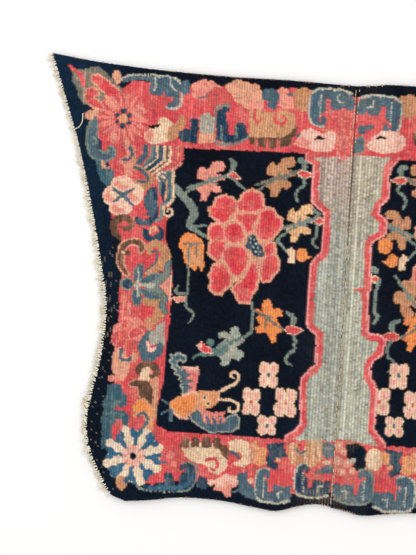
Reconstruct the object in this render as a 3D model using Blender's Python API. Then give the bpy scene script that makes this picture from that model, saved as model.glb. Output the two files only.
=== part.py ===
"""Knotted saddle rug, lying flat.

Two woven halves meet at a seam over the spine, and each ends in its cut warp ends at the flank.
Units are metres. +Y runs along the spine to the front edge, +X to the right, and the floor is z = 0.
"""

import math
from collections import namedtuple

import bmesh
import bpy
import numpy as np

# Cloth
CLOTH_THICKNESS = 0.0090
SELVEDGE_THICKNESS = 0.0050
SELVEDGE_ROUNDING = 0.0026
PIECE_GAP = 0.0003

# Rows of knots run along the spine. The rows near it are wider, where use has spread them.
ROW_PITCH = 0.00378
SPINE_ROW_PITCH = 0.00460
SPINE_ROWS = 18
ROW_RELIEF = 0.00036
CROSS_SECTIONS = 4

# Wear and unevenness of the top
WORN_DEPTH = 0.0012
WORN_HALF_WIDTH = 0.060
SEAM_GROOVE_DEPTH = 0.0032
SEAM_GROOVE_WIDTH = 0.0030
SWELL_HEIGHT = 0.0005
SWELL_LENGTH = 0.260

# Warp ends
LOCKS_PER_FLANK = 120
LOCK_WIDTH_SHARE = 0.52
LOCK_LENGTH = 0.0062
LOCK_LENGTH_CHANGE = 0.0016
LOCK_TIP_SHARE = 0.45
LOCK_TIP_HEIGHT = 0.0014
LOCK_SWING = 0.0016
ROOT_STRIP_WIDTH = 0.0020
ROOT_STRIP_HEIGHT = 0.0040
FRINGE_REAR_END = -0.3120

# Step along a smooth edge
EDGE_STEP = 0.0080

# The front and rear edges of the two halves. reach is the distance from the spine. left and
# right are the distances towards the front from the middle of the seam, one for each half.
Selvedge = namedtuple("Selvedge", "reach left right")

FRONT_EDGE = (
    Selvedge(0.000, 0.3158, 0.3160),
    Selvedge(0.027, 0.3162, 0.3180),
    Selvedge(0.050, 0.3168, 0.3208),
    Selvedge(0.110, 0.3182, 0.3206),
    Selvedge(0.190, 0.3178, 0.3178),
    Selvedge(0.300, 0.3212, 0.3212),
    Selvedge(0.390, 0.3275, 0.3275),
    Selvedge(0.461, 0.3363, 0.3363),
)

REAR_EDGE = (
    Selvedge(0.000, -0.3160, -0.3175),
    Selvedge(0.022, -0.3136, -0.3212),
    Selvedge(0.048, -0.3180, -0.3264),
    Selvedge(0.082, -0.3275, -0.3220),
    Selvedge(0.120, -0.3234, -0.3180),
    Selvedge(0.167, -0.3172, -0.3172),
    Selvedge(0.225, -0.3165, -0.3165),
    Selvedge(0.275, -0.3238, -0.3238),
    Selvedge(0.310, -0.3272, -0.3272),
)

# The flank edge, the same on both halves, from the front corner to the rear edge.
Flank = namedtuple("Flank", "reach along")

FLANK_EDGE = (
    Flank(0.461, 0.3363),
    Flank(0.438, 0.2740),
    Flank(0.412, 0.1990),
    Flank(0.388, 0.1100),
    Flank(0.370, 0.0300),
    Flank(0.357, -0.0400),
    Flank(0.362, -0.1200),
    Flank(0.376, -0.1980),
    Flank(0.371, -0.2460),
    Flank(0.350, -0.2920),
    Flank(0.332, -0.3180),
    Flank(0.310, -0.3272),
)

SIDES = {"left": -1, "right": 1}

COLOURS = {
    "pile": (0.012, 0.018, 0.040),
    "warp": (0.700, 0.610, 0.440),
}


def clear_scene():
    for obj in list(bpy.data.objects):
        bpy.data.objects.remove(obj, do_unlink=True)


def face_outwards(bm):
    bmesh.ops.recalc_face_normals(bm, faces=bm.faces[:])
    if bm.calc_volume(signed=True) < 0:
        bmesh.ops.reverse_faces(bm, faces=bm.faces[:])


def new_collection(name, helper=False):
    collection = bpy.data.collections.new(name)
    bpy.context.scene.collection.children.link(collection)
    collection.hide_render = helper
    return collection


def material(name, colour, roughness):
    made = bpy.data.materials.new(name)
    made.use_nodes = True
    shader = made.node_tree.nodes["Principled BSDF"]
    shader.inputs["Base Color"].default_value = (*colour, 1.0)
    shader.inputs["Roughness"].default_value = roughness
    shader.inputs["Metallic"].default_value = 0.0
    made.diffuse_color = (*colour, 1.0)
    return made


def smooth_path(places, step=EDGE_STEP):
    """Points about step apart on a Catmull-Rom curve through the places."""
    points = np.array(places, float)
    ends = np.vstack([2 * points[0] - points[1], points, 2 * points[-1] - points[-2]])
    path = []
    for before, start, end, after in zip(ends, ends[1:], ends[2:], ends[3:]):
        count = max(1, round(np.linalg.norm(end - start) / step))
        t = np.arange(count)[:, None] / count
        path.append(
            0.5
            * (
                2 * start
                + (end - before) * t
                + (2 * before - 5 * start + 4 * end - after) * t**2
                + (3 * start - before - 3 * end + after) * t**3
            )
        )
    return np.vstack([*path, points[-1:]])


def selvedge(edge, word):
    """The front or rear edge of one half as places (reach, along), by reach."""
    return smooth_path([(place.reach, getattr(place, word)) for place in edge])


def frame_shift():
    """How far the seam's middle lies from the middle of the rug's length along the spine."""
    front = max(selvedge(FRONT_EDGE, word)[:, 1].max() for word in SIDES)
    rear = min(selvedge(REAR_EDGE, word)[:, 1].min() for word in SIDES)
    return (front + rear) / 2


def row_lines():
    """Distances from the spine of the valleys and crests between and on the rows of knots."""
    reach = max(place.reach for place in FLANK_EDGE)
    outer_rows = math.ceil((reach - SPINE_ROWS * SPINE_ROW_PITCH) / ROW_PITCH)
    valleys = np.concatenate(
        [
            np.arange(SPINE_ROWS) * SPINE_ROW_PITCH,
            SPINE_ROWS * SPINE_ROW_PITCH + np.arange(outer_rows + 1) * ROW_PITCH,
        ]
    )
    crests = (valleys[:-1] + valleys[1:]) / 2
    lines = np.empty(len(valleys) + len(crests))
    lines[0::2], lines[1::2] = valleys, crests
    relief = np.empty_like(lines)
    relief[0::2], relief[1::2] = -ROW_RELIEF, ROW_RELIEF
    return lines, relief


def top_height(reach, along, relief):
    """Height of the pile at each place: rows, worn middle, the groove of the seam and low swells."""
    worn = WORN_DEPTH * np.exp(-((reach / WORN_HALF_WIDTH) ** 4))
    groove = SEAM_GROOVE_DEPTH * np.exp(-((reach / SEAM_GROOVE_WIDTH) ** 2))
    turn = 2 * math.pi / SWELL_LENGTH
    swell = SWELL_HEIGHT * np.sin(turn * reach + 0.8) * np.cos(turn * along * 0.7)
    return CLOTH_THICKNESS + relief - worn - groove + swell


def woven_slab(name, word, shift):
    """One half before its flank is cut: rows of knots between the selvedges, flat underneath."""
    lines, relief = row_lines()
    front = np.interp(lines, *selvedge(FRONT_EDGE, word).T)
    rear = np.interp(lines, *selvedge(REAR_EDGE, word).T)
    inner = np.linspace(0, 1, CROSS_SECTIONS + 1)
    along = np.stack(
        [
            rear,
            *(rear + SELVEDGE_ROUNDING + t * (front - rear - 2 * SELVEDGE_ROUNDING) for t in inner),
            front,
        ],
        axis=1,
    )
    reach = np.repeat(lines[:, None], along.shape[1], axis=1)
    height = top_height(reach, along, relief[:, None])
    height[:, [0, -1]] = SELVEDGE_THICKNESS
    reach[0] = PIECE_GAP / 2

    bm = bmesh.new()
    columns, rows = along.shape
    bmesh.ops.create_grid(bm, x_segments=columns - 1, y_segments=rows - 1, size=1)
    bm.verts.ensure_lookup_table()
    # The grid's vertices run along x first, then y.
    order = sorted(bm.verts, key=lambda v: (round(v.co.x, 5), round(v.co.y, 5)))
    for vert, r, a, h in zip(order, reach.ravel(), along.ravel(), height.ravel()):
        vert.co = (SIDES[word] * r, a - shift, h)
    grown = bmesh.ops.extrude_face_region(bm, geom=bm.faces[:])["geom"]
    floor_verts = [g for g in grown if isinstance(g, bmesh.types.BMVert)]
    floor_faces = [g for g in grown if isinstance(g, bmesh.types.BMFace)]
    for vert in floor_verts:
        vert.co.z = 0.0
    bmesh.ops.dissolve_faces(bm, faces=floor_faces, use_verts=True)
    face_outwards(bm)
    mesh = bpy.data.meshes.new(name)
    bm.to_mesh(mesh)
    bm.free()
    return bpy.data.objects.new(name, mesh)


def flank_cutter(name, word, shift):
    """A prism over one half. Its outer wall is the flank edge, and the others clear the cloth."""
    clear = 0.030
    flank = smooth_path([(place.reach, place.along) for place in FLANK_EDGE])
    front, rear = flank[0], flank[-1]
    slope = (front - flank[1]) / np.linalg.norm(front - flank[1])
    corners = [rear - clear, (-clear, rear[1] - clear), (-clear, front[1] + clear), front + clear * slope]
    outline = [*flank, *corners]
    curve = bpy.data.curves.new(name, "CURVE")
    curve.dimensions = "2D"
    curve.fill_mode = "BOTH"
    curve.extrude = 2 * CLOTH_THICKNESS
    spline = curve.splines.new("POLY")
    spline.points.add(len(outline) - 1)
    for point, (reach, along) in zip(spline.points, outline):
        point.co = (SIDES[word] * reach, along - shift, 0.0, 1.0)
    spline.use_cyclic_u = True
    drawn = bpy.data.objects.new(name, curve)
    bpy.context.scene.collection.objects.link(drawn)
    bpy.context.view_layer.update()
    graph = bpy.context.evaluated_depsgraph_get()
    mesh = bpy.data.meshes.new_from_object(drawn.evaluated_get(graph))
    bpy.data.objects.remove(drawn, do_unlink=True)
    bm = bmesh.new()
    bm.from_mesh(mesh)
    bmesh.ops.remove_doubles(bm, verts=bm.verts[:], dist=1e-6)
    face_outwards(bm)
    bm.to_mesh(mesh)
    bm.free()
    cutter = bpy.data.objects.new(name, mesh)
    cutter.hide_render = True
    cutter.display_type = "WIRE"
    return cutter


def woven_half(name, word, shift, look, parts, cutters):
    half = woven_slab(name, word, shift)
    cutter = flank_cutter(f"{name}_cutter", word, shift)
    parts.objects.link(half)
    cutters.objects.link(cutter)
    trim = half.modifiers.new("flank", "BOOLEAN")
    trim.operation = "INTERSECT"
    trim.solver = "EXACT"
    trim.object = cutter
    half.data.materials.append(look)


def straight_fringe():
    """The root strip and its locks before they are bent: x runs from 0 to 1 along it, y outwards."""
    bm = bmesh.new()
    bmesh.ops.create_grid(bm, x_segments=2 * LOCKS_PER_FLANK, y_segments=1, size=0.5)
    for vert in bm.verts:
        # Each pitch is a lock's root and then the gap to the next.
        step = round((vert.co.x + 0.5) * 2 * LOCKS_PER_FLANK)
        vert.co.x = (step // 2 + step % 2 * LOCK_WIDTH_SHARE) / LOCKS_PER_FLANK
        vert.co.y = PIECE_GAP + (vert.co.y + 0.5) * ROOT_STRIP_WIDTH
    grown = bmesh.ops.extrude_face_region(bm, geom=bm.faces[:])["geom"]
    for vert in (g for g in grown if isinstance(g, bmesh.types.BMVert)):
        vert.co.z = ROOT_STRIP_HEIGHT
    face_outwards(bm)
    outer = [face for face in bm.faces if face.normal.y > 0.9]
    outer.sort(key=lambda face: face.calc_center_median().x)
    for index, root in enumerate(outer[0::2]):
        tip = bmesh.ops.extrude_discrete_faces(bm, faces=[root])["faces"][0]
        middle = tip.calc_center_median().x
        swing = math.sin(2.4 * index) + 0.6 * math.sin(5.1 * index + 1.0)
        length = LOCK_LENGTH + LOCK_LENGTH_CHANGE * math.sin(3.7 * index)
        for vert in tip.verts:
            vert.co.x = middle + (vert.co.x - middle) * LOCK_TIP_SHARE + LOCK_SWING * swing
            vert.co.y += length
            vert.co.z *= LOCK_TIP_HEIGHT / ROOT_STRIP_HEIGHT
    return bm


def warp_ends(name, word, shift, look, parts):
    """The cut warp ends along one flank: a straight fringe bent to the edge."""
    edge = smooth_path([(place.reach, place.along) for place in FLANK_EDGE], EDGE_STEP / 4)
    edge = edge[edge[:, 1] > FRINGE_REAR_END]
    length = np.concatenate([[0.0], np.cumsum(np.linalg.norm(np.diff(edge, axis=0), axis=1))])
    tangent = np.gradient(edge, length, axis=0)
    bm = straight_fringe()
    for vert in bm.verts:
        at = vert.co.x * length[-1]
        reach, along, run, rise = (
            float(np.interp(at, length, row)) for row in (*edge.T, *tangent.T)
        )
        # The edge runs from front to rear, so that its left side faces outwards.
        vert.co.x = SIDES[word] * (reach - rise * vert.co.y)
        vert.co.y = along + run * vert.co.y - shift
    face_outwards(bm)
    mesh = bpy.data.meshes.new(name)
    bm.to_mesh(mesh)
    bm.free()
    mesh.materials.append(look)
    parts.objects.link(bpy.data.objects.new(name, mesh))


def build():
    clear_scene()
    parts = new_collection("saddle_rug")
    cutters = new_collection("cutters", helper=True)
    shift = frame_shift()
    for word in SIDES:
        pile = material(f"pile_{word}", COLOURS["pile"], 0.9)
        warp = material(f"warp_{word}", COLOURS["warp"], 0.95)
        woven_half(f"half_{word}", word, shift, pile, parts, cutters)
        warp_ends(f"fringe_{word}", word, shift, warp, parts)


build()
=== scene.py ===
import bpy
import numpy as np
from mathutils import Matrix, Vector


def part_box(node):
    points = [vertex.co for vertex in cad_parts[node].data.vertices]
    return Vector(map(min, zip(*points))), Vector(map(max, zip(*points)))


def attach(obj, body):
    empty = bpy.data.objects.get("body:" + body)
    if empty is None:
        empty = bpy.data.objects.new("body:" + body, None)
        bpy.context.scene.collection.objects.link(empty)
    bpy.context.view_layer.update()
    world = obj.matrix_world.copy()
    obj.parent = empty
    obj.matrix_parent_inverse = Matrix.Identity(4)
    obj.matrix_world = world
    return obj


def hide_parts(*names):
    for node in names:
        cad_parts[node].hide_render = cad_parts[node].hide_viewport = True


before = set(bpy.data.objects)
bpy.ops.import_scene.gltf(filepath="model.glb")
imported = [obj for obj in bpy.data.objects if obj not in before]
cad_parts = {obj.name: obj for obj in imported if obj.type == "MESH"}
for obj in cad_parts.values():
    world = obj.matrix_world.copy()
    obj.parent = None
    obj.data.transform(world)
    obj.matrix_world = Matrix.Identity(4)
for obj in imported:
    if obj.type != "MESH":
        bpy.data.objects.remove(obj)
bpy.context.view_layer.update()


cloth = {  # the weave, in mm
    "rowPitch": 3.78,
    "spineRowPitch": 4.60,  # rows by the spine, spread by wear
    "spineRows": 18,
    "knotPitch": 3.00,
    "reach": 463.0,
    "front": 338.0,
    "rear": -330.0,
    "rowSlip": 0.40,  # rows and knots slip along their row, and knots sway across it
    "knotSlip": 0.32,
    "sway": 0.22,
    "wander": 0.8,  # drawn by hand: every outline wanders a little
    "wanderSize": 24,
}

dyes = {  # sRGB of the wools
    "ink": (15, 17, 27),
    "navy": (19, 35, 52),
    "denim": (27, 55, 78),
    "slate": (70, 93, 106),
    "teal": (56, 90, 102),
    "moss": (106, 108, 98),
    "sage": (116, 128, 118),
    "coral": (208, 70, 78),
    "crimson": (214, 64, 76),
    "rose": (196, 84, 82),
    "dusk": (222, 126, 116),
    "berry": (208, 54, 64),
    "honey": (220, 150, 106),
    "mist": (150, 158, 146),
    "buff": (194, 142, 104),
    "pink": (240, 150, 148),
    "fern": (88, 116, 112),
    "azure": (48, 92, 120),
    "blush": (222, 140, 124),
    "pale": (236, 180, 162),
    "peach": (214, 152, 124),
    "cream": (230, 194, 162),
    "sand": (190, 134, 98),
    "amber": (236, 138, 78),
    "bark": (92, 67, 53),
    "stone": (164, 158, 145),
    "chalk": (176, 176, 162),
    "milk": (224, 202, 176),
    "straw": (220, 172, 128),
}
dyeNames = list(dyes)
signs = {"left": -1, "right": 1}  # of x, for a distance from the spine


def randomFor(side, seed):  # a seed for the left half, and the next one for the right
    return np.random.default_rng(seed + (side == "right"))


def perKnot(values):  # a value per knot, given to its four cells
    return np.repeat(np.repeat(values, 2, axis=0), 2, axis=1)


def halved(lines):  # the lines, and one midway between each two
    return np.append(np.stack([lines[:-1], (lines[:-1] + lines[1:]) / 2], axis=1).ravel(), lines[-1])


# Catmull-Rom: a cubic from each point to the next, with the slope at a point half of the way between its neighbours
def curve(points, steps=8):
    p = np.array(points, float)
    p = np.vstack([2 * p[0] - p[1], p, 2 * p[-1] - p[-2]])
    t = np.linspace(0, 1, steps, endpoint=False)[:, None]
    parts = [
        0.5 * (2 * b + (c - a) * t + (2 * a - 5 * b + 4 * c - d) * t**2 + (3 * b - a - 3 * c + d) * t**3)
        for a, b, c, d in zip(p, p[1:], p[2:], p[3:])
    ]
    return np.vstack([*parts, p[-2:-1]])


# smooth noise, about -1 to 1: a sum of sine waves in random directions, four to an octave, the finer ones weaker
def ripple(u, v, seed, size, octaves=3):
    rng = np.random.default_rng(seed)
    total = np.zeros(np.broadcast(u, v).shape)
    for k in range(octaves):
        for turn, phase in zip(rng.uniform(0, 2 * np.pi, 4), rng.uniform(0, 2 * np.pi, 4)):
            wave = 2 * np.pi / size * 1.7**k
            total += np.sin((u * np.cos(turn) + v * np.sin(turn)) * wave + phase) / 1.8**k
    return total / 4.4


def linear(colour):  # sRGB 0-255 to linear light
    c = np.asarray(colour, float) / 255
    return np.where(c <= 0.04045, c / 12.92, ((c + 0.055) / 1.055) ** 2.4)


class KnotChart:  # the dye of one half, two cells to a row and two to a knot
    # u is the distance from the spine, v the one to the front; a shape is the distance to it, less than 0 inside
    far = 99.0

    def __init__(self, side):
        spine = cloth["spineRows"] * cloth["spineRowPitch"]
        outer = int(np.ceil((cloth["reach"] - spine) / cloth["rowPitch"]))
        near = np.arange(cloth["spineRows"]) * cloth["spineRowPitch"]
        rowLines = np.concatenate([near, spine + np.arange(outer + 1) * cloth["rowPitch"]])
        knots = int(np.ceil((cloth["front"] - cloth["rear"]) / cloth["knotPitch"]))
        self.uLines = halved(rowLines)
        self.vLines = halved(cloth["rear"] + np.arange(knots + 1) * cloth["knotPitch"])
        middles = [(lines[:-1] + lines[1:]) / 2 for lines in (self.uLines, self.vLines)]
        u, v = np.meshgrid(*middles, indexing="ij")
        rng = randomFor(side, 7)
        rows = len(rowLines) - 1
        slip = rng.normal(0, cloth["rowSlip"], (rows, 1)) + rng.normal(0, cloth["knotSlip"], (rows, knots))
        sway = rng.normal(0, cloth["sway"], (rows, knots))
        self.u = u + perKnot(sway) + cloth["wander"] * ripple(u, v, 101, cloth["wanderSize"])
        self.v = v + perKnot(slip) + cloth["wander"] * ripple(u, v, 102, cloth["wanderSize"])
        self.dye = np.zeros(u.shape, int)

    def has(self, *names):  # cells dyed with any of these
        return np.isin(self.dye, [dyeNames.index(name) for name in names])

    def measure(self, points, distance, margin=26.0):  # a shape's distance, worked out near its points only
        points = np.asarray(points, float).reshape(-1, 2)
        low, high = points.min(axis=0) - margin, points.max(axis=0) + margin
        i = slice(*np.clip(np.searchsorted(self.uLines, [low[0], high[0]]), 0, self.u.shape[0]))
        j = slice(*np.clip(np.searchsorted(self.vLines, [low[1], high[1]]), 0, self.u.shape[1]))
        away = np.full(self.u.shape, self.far)
        away[i, j] = distance(self.u[i, j], self.v[i, j])
        return away

    def paint(self, away, dye, rim=None, rimWidth=3.6, within=None):  # the rim first, then the shape over it
        inside = np.ones(away.shape, bool) if within is None else within
        if rim:
            self.dye[(away < rimWidth) & inside] = dyeNames.index(rim)
        self.dye[(away < 0) & inside] = dyeNames.index(dye)

    # each form over the last: its kind, its dye or (dye, rim, rim's width), and its own values; outlines are u, v, u, v
    def draw(self, *forms):
        kinds = {"patch": self.patch, "band": self.band, "oval": self.oval, "petals": self.petals, "lobes": self.lobes}
        for kind, dye, *values in forms:
            self.paint(kinds[kind](*values), *([dye] if isinstance(dye, str) else dye))

    def oval(self, at, long, wide, turn=0.0):  # length and width along its own axes
        c, s = np.cos(np.radians(turn)), np.sin(np.radians(turn))

        def distance(u, v):  # how far past the edge, as a share of the size, times the smaller half size
            du, dv = u - at[0], v - at[1]
            a, b = du * c + dv * s, -du * s + dv * c
            return (np.hypot(2 * a / long, 2 * b / wide) - 1) * min(long, wide) / 2

        return self.measure([at], distance, max(long, wide) / 2 + 8)

    def tile(self, at, wide, high, corner):  # a rectangle with round corners

        def distance(u, v):  # to an inner rectangle, less the corner's radius
            du, dv = np.abs(u - at[0]) - wide / 2 + corner, np.abs(v - at[1]) - high / 2 + corner
            return np.hypot(np.maximum(du, 0), np.maximum(dv, 0)) + np.minimum(np.maximum(du, dv), 0) - corner

        return self.measure([at], distance, max(wide, high) / 2 + 8)

    def band(self, points, *widths):  # a stroke along a smooth curve, its width eased between the given ones
        path = curve(np.reshape(points, (-1, 2)))
        t = np.linspace(0, 1, len(path))
        half = np.interp(t, np.linspace(0, 1, len(widths)), np.array(widths) / 2)

        def distance(u, v):  # to the nearest point of the curve, less half the width there
            away = np.full(u.shape, self.far)
            for (pu, pv), h in zip(path, half):
                away = np.minimum(away, np.hypot(u - pu, v - pv) - h)
            return away

        return self.measure(path, distance, max(widths) / 2 + 8)

    def patch(self, points, smooth=False):  # a filled outline
        path = np.reshape(points, (-1, 2)).astype(float)
        path = curve([*path, path[0]], 5)[:-1] if smooth else path

        def distance(u, v):  # to the nearest side; a place is inside when a line from it crosses an odd number of sides
            away, crossed = np.full(u.shape, self.far), np.zeros(u.shape, bool)
            for (au, av), (bu, bv) in zip(path, np.roll(path, -1, axis=0)):
                eu, ev = bu - au, bv - av
                t = np.clip(((u - au) * eu + (v - av) * ev) / (eu * eu + ev * ev + 1e-9), 0, 1)
                away = np.minimum(away, np.hypot(u - au - t * eu, v - av - t * ev))
                up = (av <= v) != (bv <= v)
                crossed ^= up & (u < au + (v - av) / (ev if abs(ev) > 1e-9 else 1e-9) * eu)
            return np.where(crossed, -away, away)

        return self.measure(path, distance)

    def petals(self, at, reach, long, wide, count, turn=0.0):  # ovals in a ring
        away = np.full(self.u.shape, self.far)
        for k in range(count):
            angle = turn + 360 * k / count
            c, s = np.cos(np.radians(angle)), np.sin(np.radians(angle))
            away = np.minimum(away, self.oval((at[0] + reach * c, at[1] + reach * s), long, wide, angle))
        return away

    def lobes(self, *beads):  # round lobes: each is (place, size)
        return np.minimum.reduce([self.oval(at, size, size) for at, size in beads])


def local(at, turn=0.0, flip=1, size=1.0):  # a shape's own axes, laid on the chart: scaled, mirrored, turned and moved
    co, si = np.cos(np.radians(turn)), np.sin(np.radians(turn))

    def put(points):
        return [
            (at[0] + size * (a * flip * co - b * si), at[1] + size * (a * flip * si + b * co))
            for a, b in points
        ]

    return put


def swelled(points, by):  # an outline with each corner moved outwards from its middle
    away = np.array(points) - np.mean(points, axis=0)
    return np.array(points) + away / np.hypot(away[:, :1], away[:, 1:]) * by


scroll = {  # a cloud scroll: an arch with a hooked leg, a short block and a slot between them; its outer side is edged
    "leg": [(7, -12), (7, -32), (8, -44), (14, -50), (21, -47), (20, -41)],
    "legWidths": np.array([14, 12, 8, 6]),
    "arch": [
        (0, -20), (4, -6), (16, 0), (42, 0), (60, -5), (66, -12), (66, -28), (54, -29),
        (52, -24), (44, -29), (32, -28), (30, -14), (23, -14), (23, -30), (12, -40), (2, -38),
    ],
    "rim": [(22, -54), (12, -54), (2, -49), (-1.5, -36), (-1.5, -18), (4, -3.5), (17, 2), (42, 2), (61, -3)],
    "rimWidth": 3.8,
    "lines": ([(14, -8), (14, -38)], [(42, -6), (42, -16), (50, -17)]),
    "lineWidth": 2.8,
}


def drawScroll(c, at, turn, flip, size, dye, rim):
    put = local(at, turn, flip, size)
    c.draw(("band", rim, put(scroll["rim"]), scroll["rimWidth"]))
    c.paint(np.minimum(c.band(put(scroll["leg"]), *(scroll["legWidths"] * size)), c.patch(put(scroll["arch"]))), dye)
    c.draw(*[("band", "chalk", put(points), scroll["lineWidth"]) for points in scroll["lines"]])


def drawBlossom(c, at, wide, high, heart):  # four square lobes with notches between them, each lobe with a paler middle
    corners = [(su * wide * 0.25, sv * high * 0.25) for su in (-1, 1) for sv in (-1, 1)]

    def tiles(out, w, h, corner):  # four tiles, out from the blossom's middle
        return [c.tile((at[0] + out * a, at[1] + out * b), wide * w, high * h, corner) for a, b in corners]

    joins = [c.tile(at, wide * 0.72, high * 0.5, 2.0), c.tile(at, wide * 0.46, high * 0.74, 2.0)]
    c.paint(np.minimum.reduce(tiles(1, 0.475, 0.475, 5.8) + joins), "cream")
    c.paint(np.minimum.reduce(tiles(1, 0.33, 0.36, 3.4)), "pale")
    c.paint(np.minimum.reduce(tiles(0.9, 0.09, 0.18, 1.0)), "pink")
    c.draw(("oval", heart, at, 5, 7))


leaf = {  # an oak-like leaf, from its middle: right and up
    "edge": (
        (-20, 12), (-17, 20), (-11, 22), (-8, 16), (-2, 21), (1, 28), (8, 31), (17, 31), (21, 24), (18, 18), (7, 16),
        (10, 11), (20, 11), (20, 4), (10, 2), (6, -3), (16, -7), (17, -13), (8, -15), (3, -12), (-1, -20), (-5, -29),
        (-13, -28), (-12, -18), (-20, -13), (-20, -6), (-10, -2), (-9, 2), (-19, 4),
    ),
    "spread": 0.5,
    "rib": ((-34, -12), (-16, -4), (4, 4), (26, 12)),
    "ribWidths": (4.0, 4.2, 3.6),
    "veins": (((-4, 1), (0, 9)), ((-2, 0), (10, -2))),
}


def drawLeaf(c, at, turn, size, dye, vein):
    put = local(at, turn, -1, size)
    c.paint(c.patch(put(leaf["edge"])) - leaf["spread"], dye)
    c.draw(("band", vein, put(leaf["rib"]), *leaf["ribWidths"]))
    c.draw(*[("band", vein, put(points), 3.0) for points in leaf["veins"]])


def drawBud(c, at, turn, size):  # a pointed bud: a diamond with a pale rim and a long tip
    put = local(at, turn, 1, size)
    c.draw(
        ("patch", "cream", put([(-9, 0), (0, 7), (8, 3), (15, 0), (8, -3), (0, -7)])),
        ("patch", "coral", put([(-8, 0), (0, 4.4), (8, 0), (0, -4.4)])),
    )


grounds = {
    "border": [
        (384, 253), (359, 284), (334, 304), (269, 296), (243, 301), (199, 304), (143, 298), (99, 307),
        (68, 300), (2, 300), (-22, 301), (-32, -319),
        (-2, -294), (48, -300), (105, -301), (138, -288), (186, -291), (258, -292), (304, -280),
        (322, -236), (332, -219), (338, -177), (336, -144), (331, -117), (334, -94), (336, -54), (338, -15),
        (336, 18), (338, 63), (355, 89), (358, 128), (364, 174), (380, 196), (388, 240),
    ],
    "field": [
        (273, 207), (71, 210), (-25, 211), (-22, -217), (53, -221), (135, -219), (233, -219), (254, -219),
        (270, -209), (269, -177), (265, -161), (262, -136), (262, -97), (260, -63), (259, -13), (261, 23),
        (264, 36), (266, 51), (271, 64), (274, 70), (274, 88), (272, 105), (269, 125),
    ],
    "panelLeft": [
        (62, 206), (49, 199), (49, 174), (49, 143), (36, 133), (30, 127), (28, 76),
        (29, 59), (40, 50), (44, 42), (45, 7), (44, -44), (29, -56), (28, -61),
        (28, -109), (47, -128), (48, -141), (44, -197), (53, -213), (66, -219),
        (-52, -218), (-55, 213),
    ],
    "panelRight": [
        (58, 213), (50, 204), (45, 187), (47, 154), (37, 143), (33, 124),
        (46, 115), (47, 102), (30, 92), (25, 80), (29, 16), (11, 10),
        (26, 5), (29, -54), (38, -63), (56, -65), (54, -77), (41, -90), (36, -102),
        (38, -123), (46, -133), (48, -142), (48, -178), (48, -198), (54, -208), (66, -220),
        (1, -214), (-38, -215), (-50, 211),
    ],
    "panelLines": (("pink", 10.6), ("coral", 7.6), ("stone", 0.0)),  # how far each stands out past the panel
    "fieldEdge": 3.2,
}


def drawPanel(c, side, field):  # the worn centre panel with its coral line and pale outer line, all within the field
    panel = c.patch(grounds["panel" + side.capitalize()])
    for dye, out in grounds["panelLines"]:
        c.paint(panel - out, dye, within=field < grounds["fieldEdge"])


def drawCorner(c):
    # front corner: a lotus leaf that points outwards, and a large rosette
    c.draw(
        ("patch", "moss", [433, 319, 425, 315, 411, 314, 401, 320, 387, 319, 375, 310, 363, 299, 350, 286, 350, 279,
            373, 278, 383, 257, 397, 259, 410, 264, 418, 275, 422, 288, 429, 298, 428, 308]),
        ("band", "coral", [433, 319, 422, 310, 414, 303, 411, 292], 4, 6, 9, 8),
        ("patch", ("coral", "peach", 2.6), [399, 306, 386, 306, 371, 296, 349, 279, 361, 270, 373, 278, 387, 290,
            397, 298]),
        ("patch", ("coral", "peach", 2.4), [407, 275, 406, 285, 396, 288, 389, 284, 388, 277, 395, 276, 395, 271,
            383, 266, 379, 256, 394, 259, 404, 267]),
    )
    heart = (349, 245)
    c.draw(
        ("oval", "coral", heart, 66, 64),
        ("petals", "rose", heart, 24, 34, 15, 9, 0),
        ("petals", "dusk", heart, 26, 26, 7, 9, 20),
        ("petals", "dusk", heart, 25, 28, 4.2, 9, 0),
        *[("oval", "blush", at, 17, 7, turn) for at, turn in (
            ((364, 266), 70), ((373, 272), 60), ((323, 262), 35), ((328, 252), 20), ((340, 210), 80),
            ((360, 215), 100),
        )],
        ("oval", "peach", heart, 15, 15),
        ("petals", "denim", heart, 10.6, 6.4, 6.4, 6, 30),
        ("petals", "denim", heart, 11.4, 7.4, 9, 2, 90),
        ("oval", "amber", heart, 6, 7),
        ("lobes", "peach", ((362, 309), 14), ((360, 302), 11)),
        ("lobes", "peach", ((399, 247), 14), ((391, 250), 11)),
    )


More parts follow.
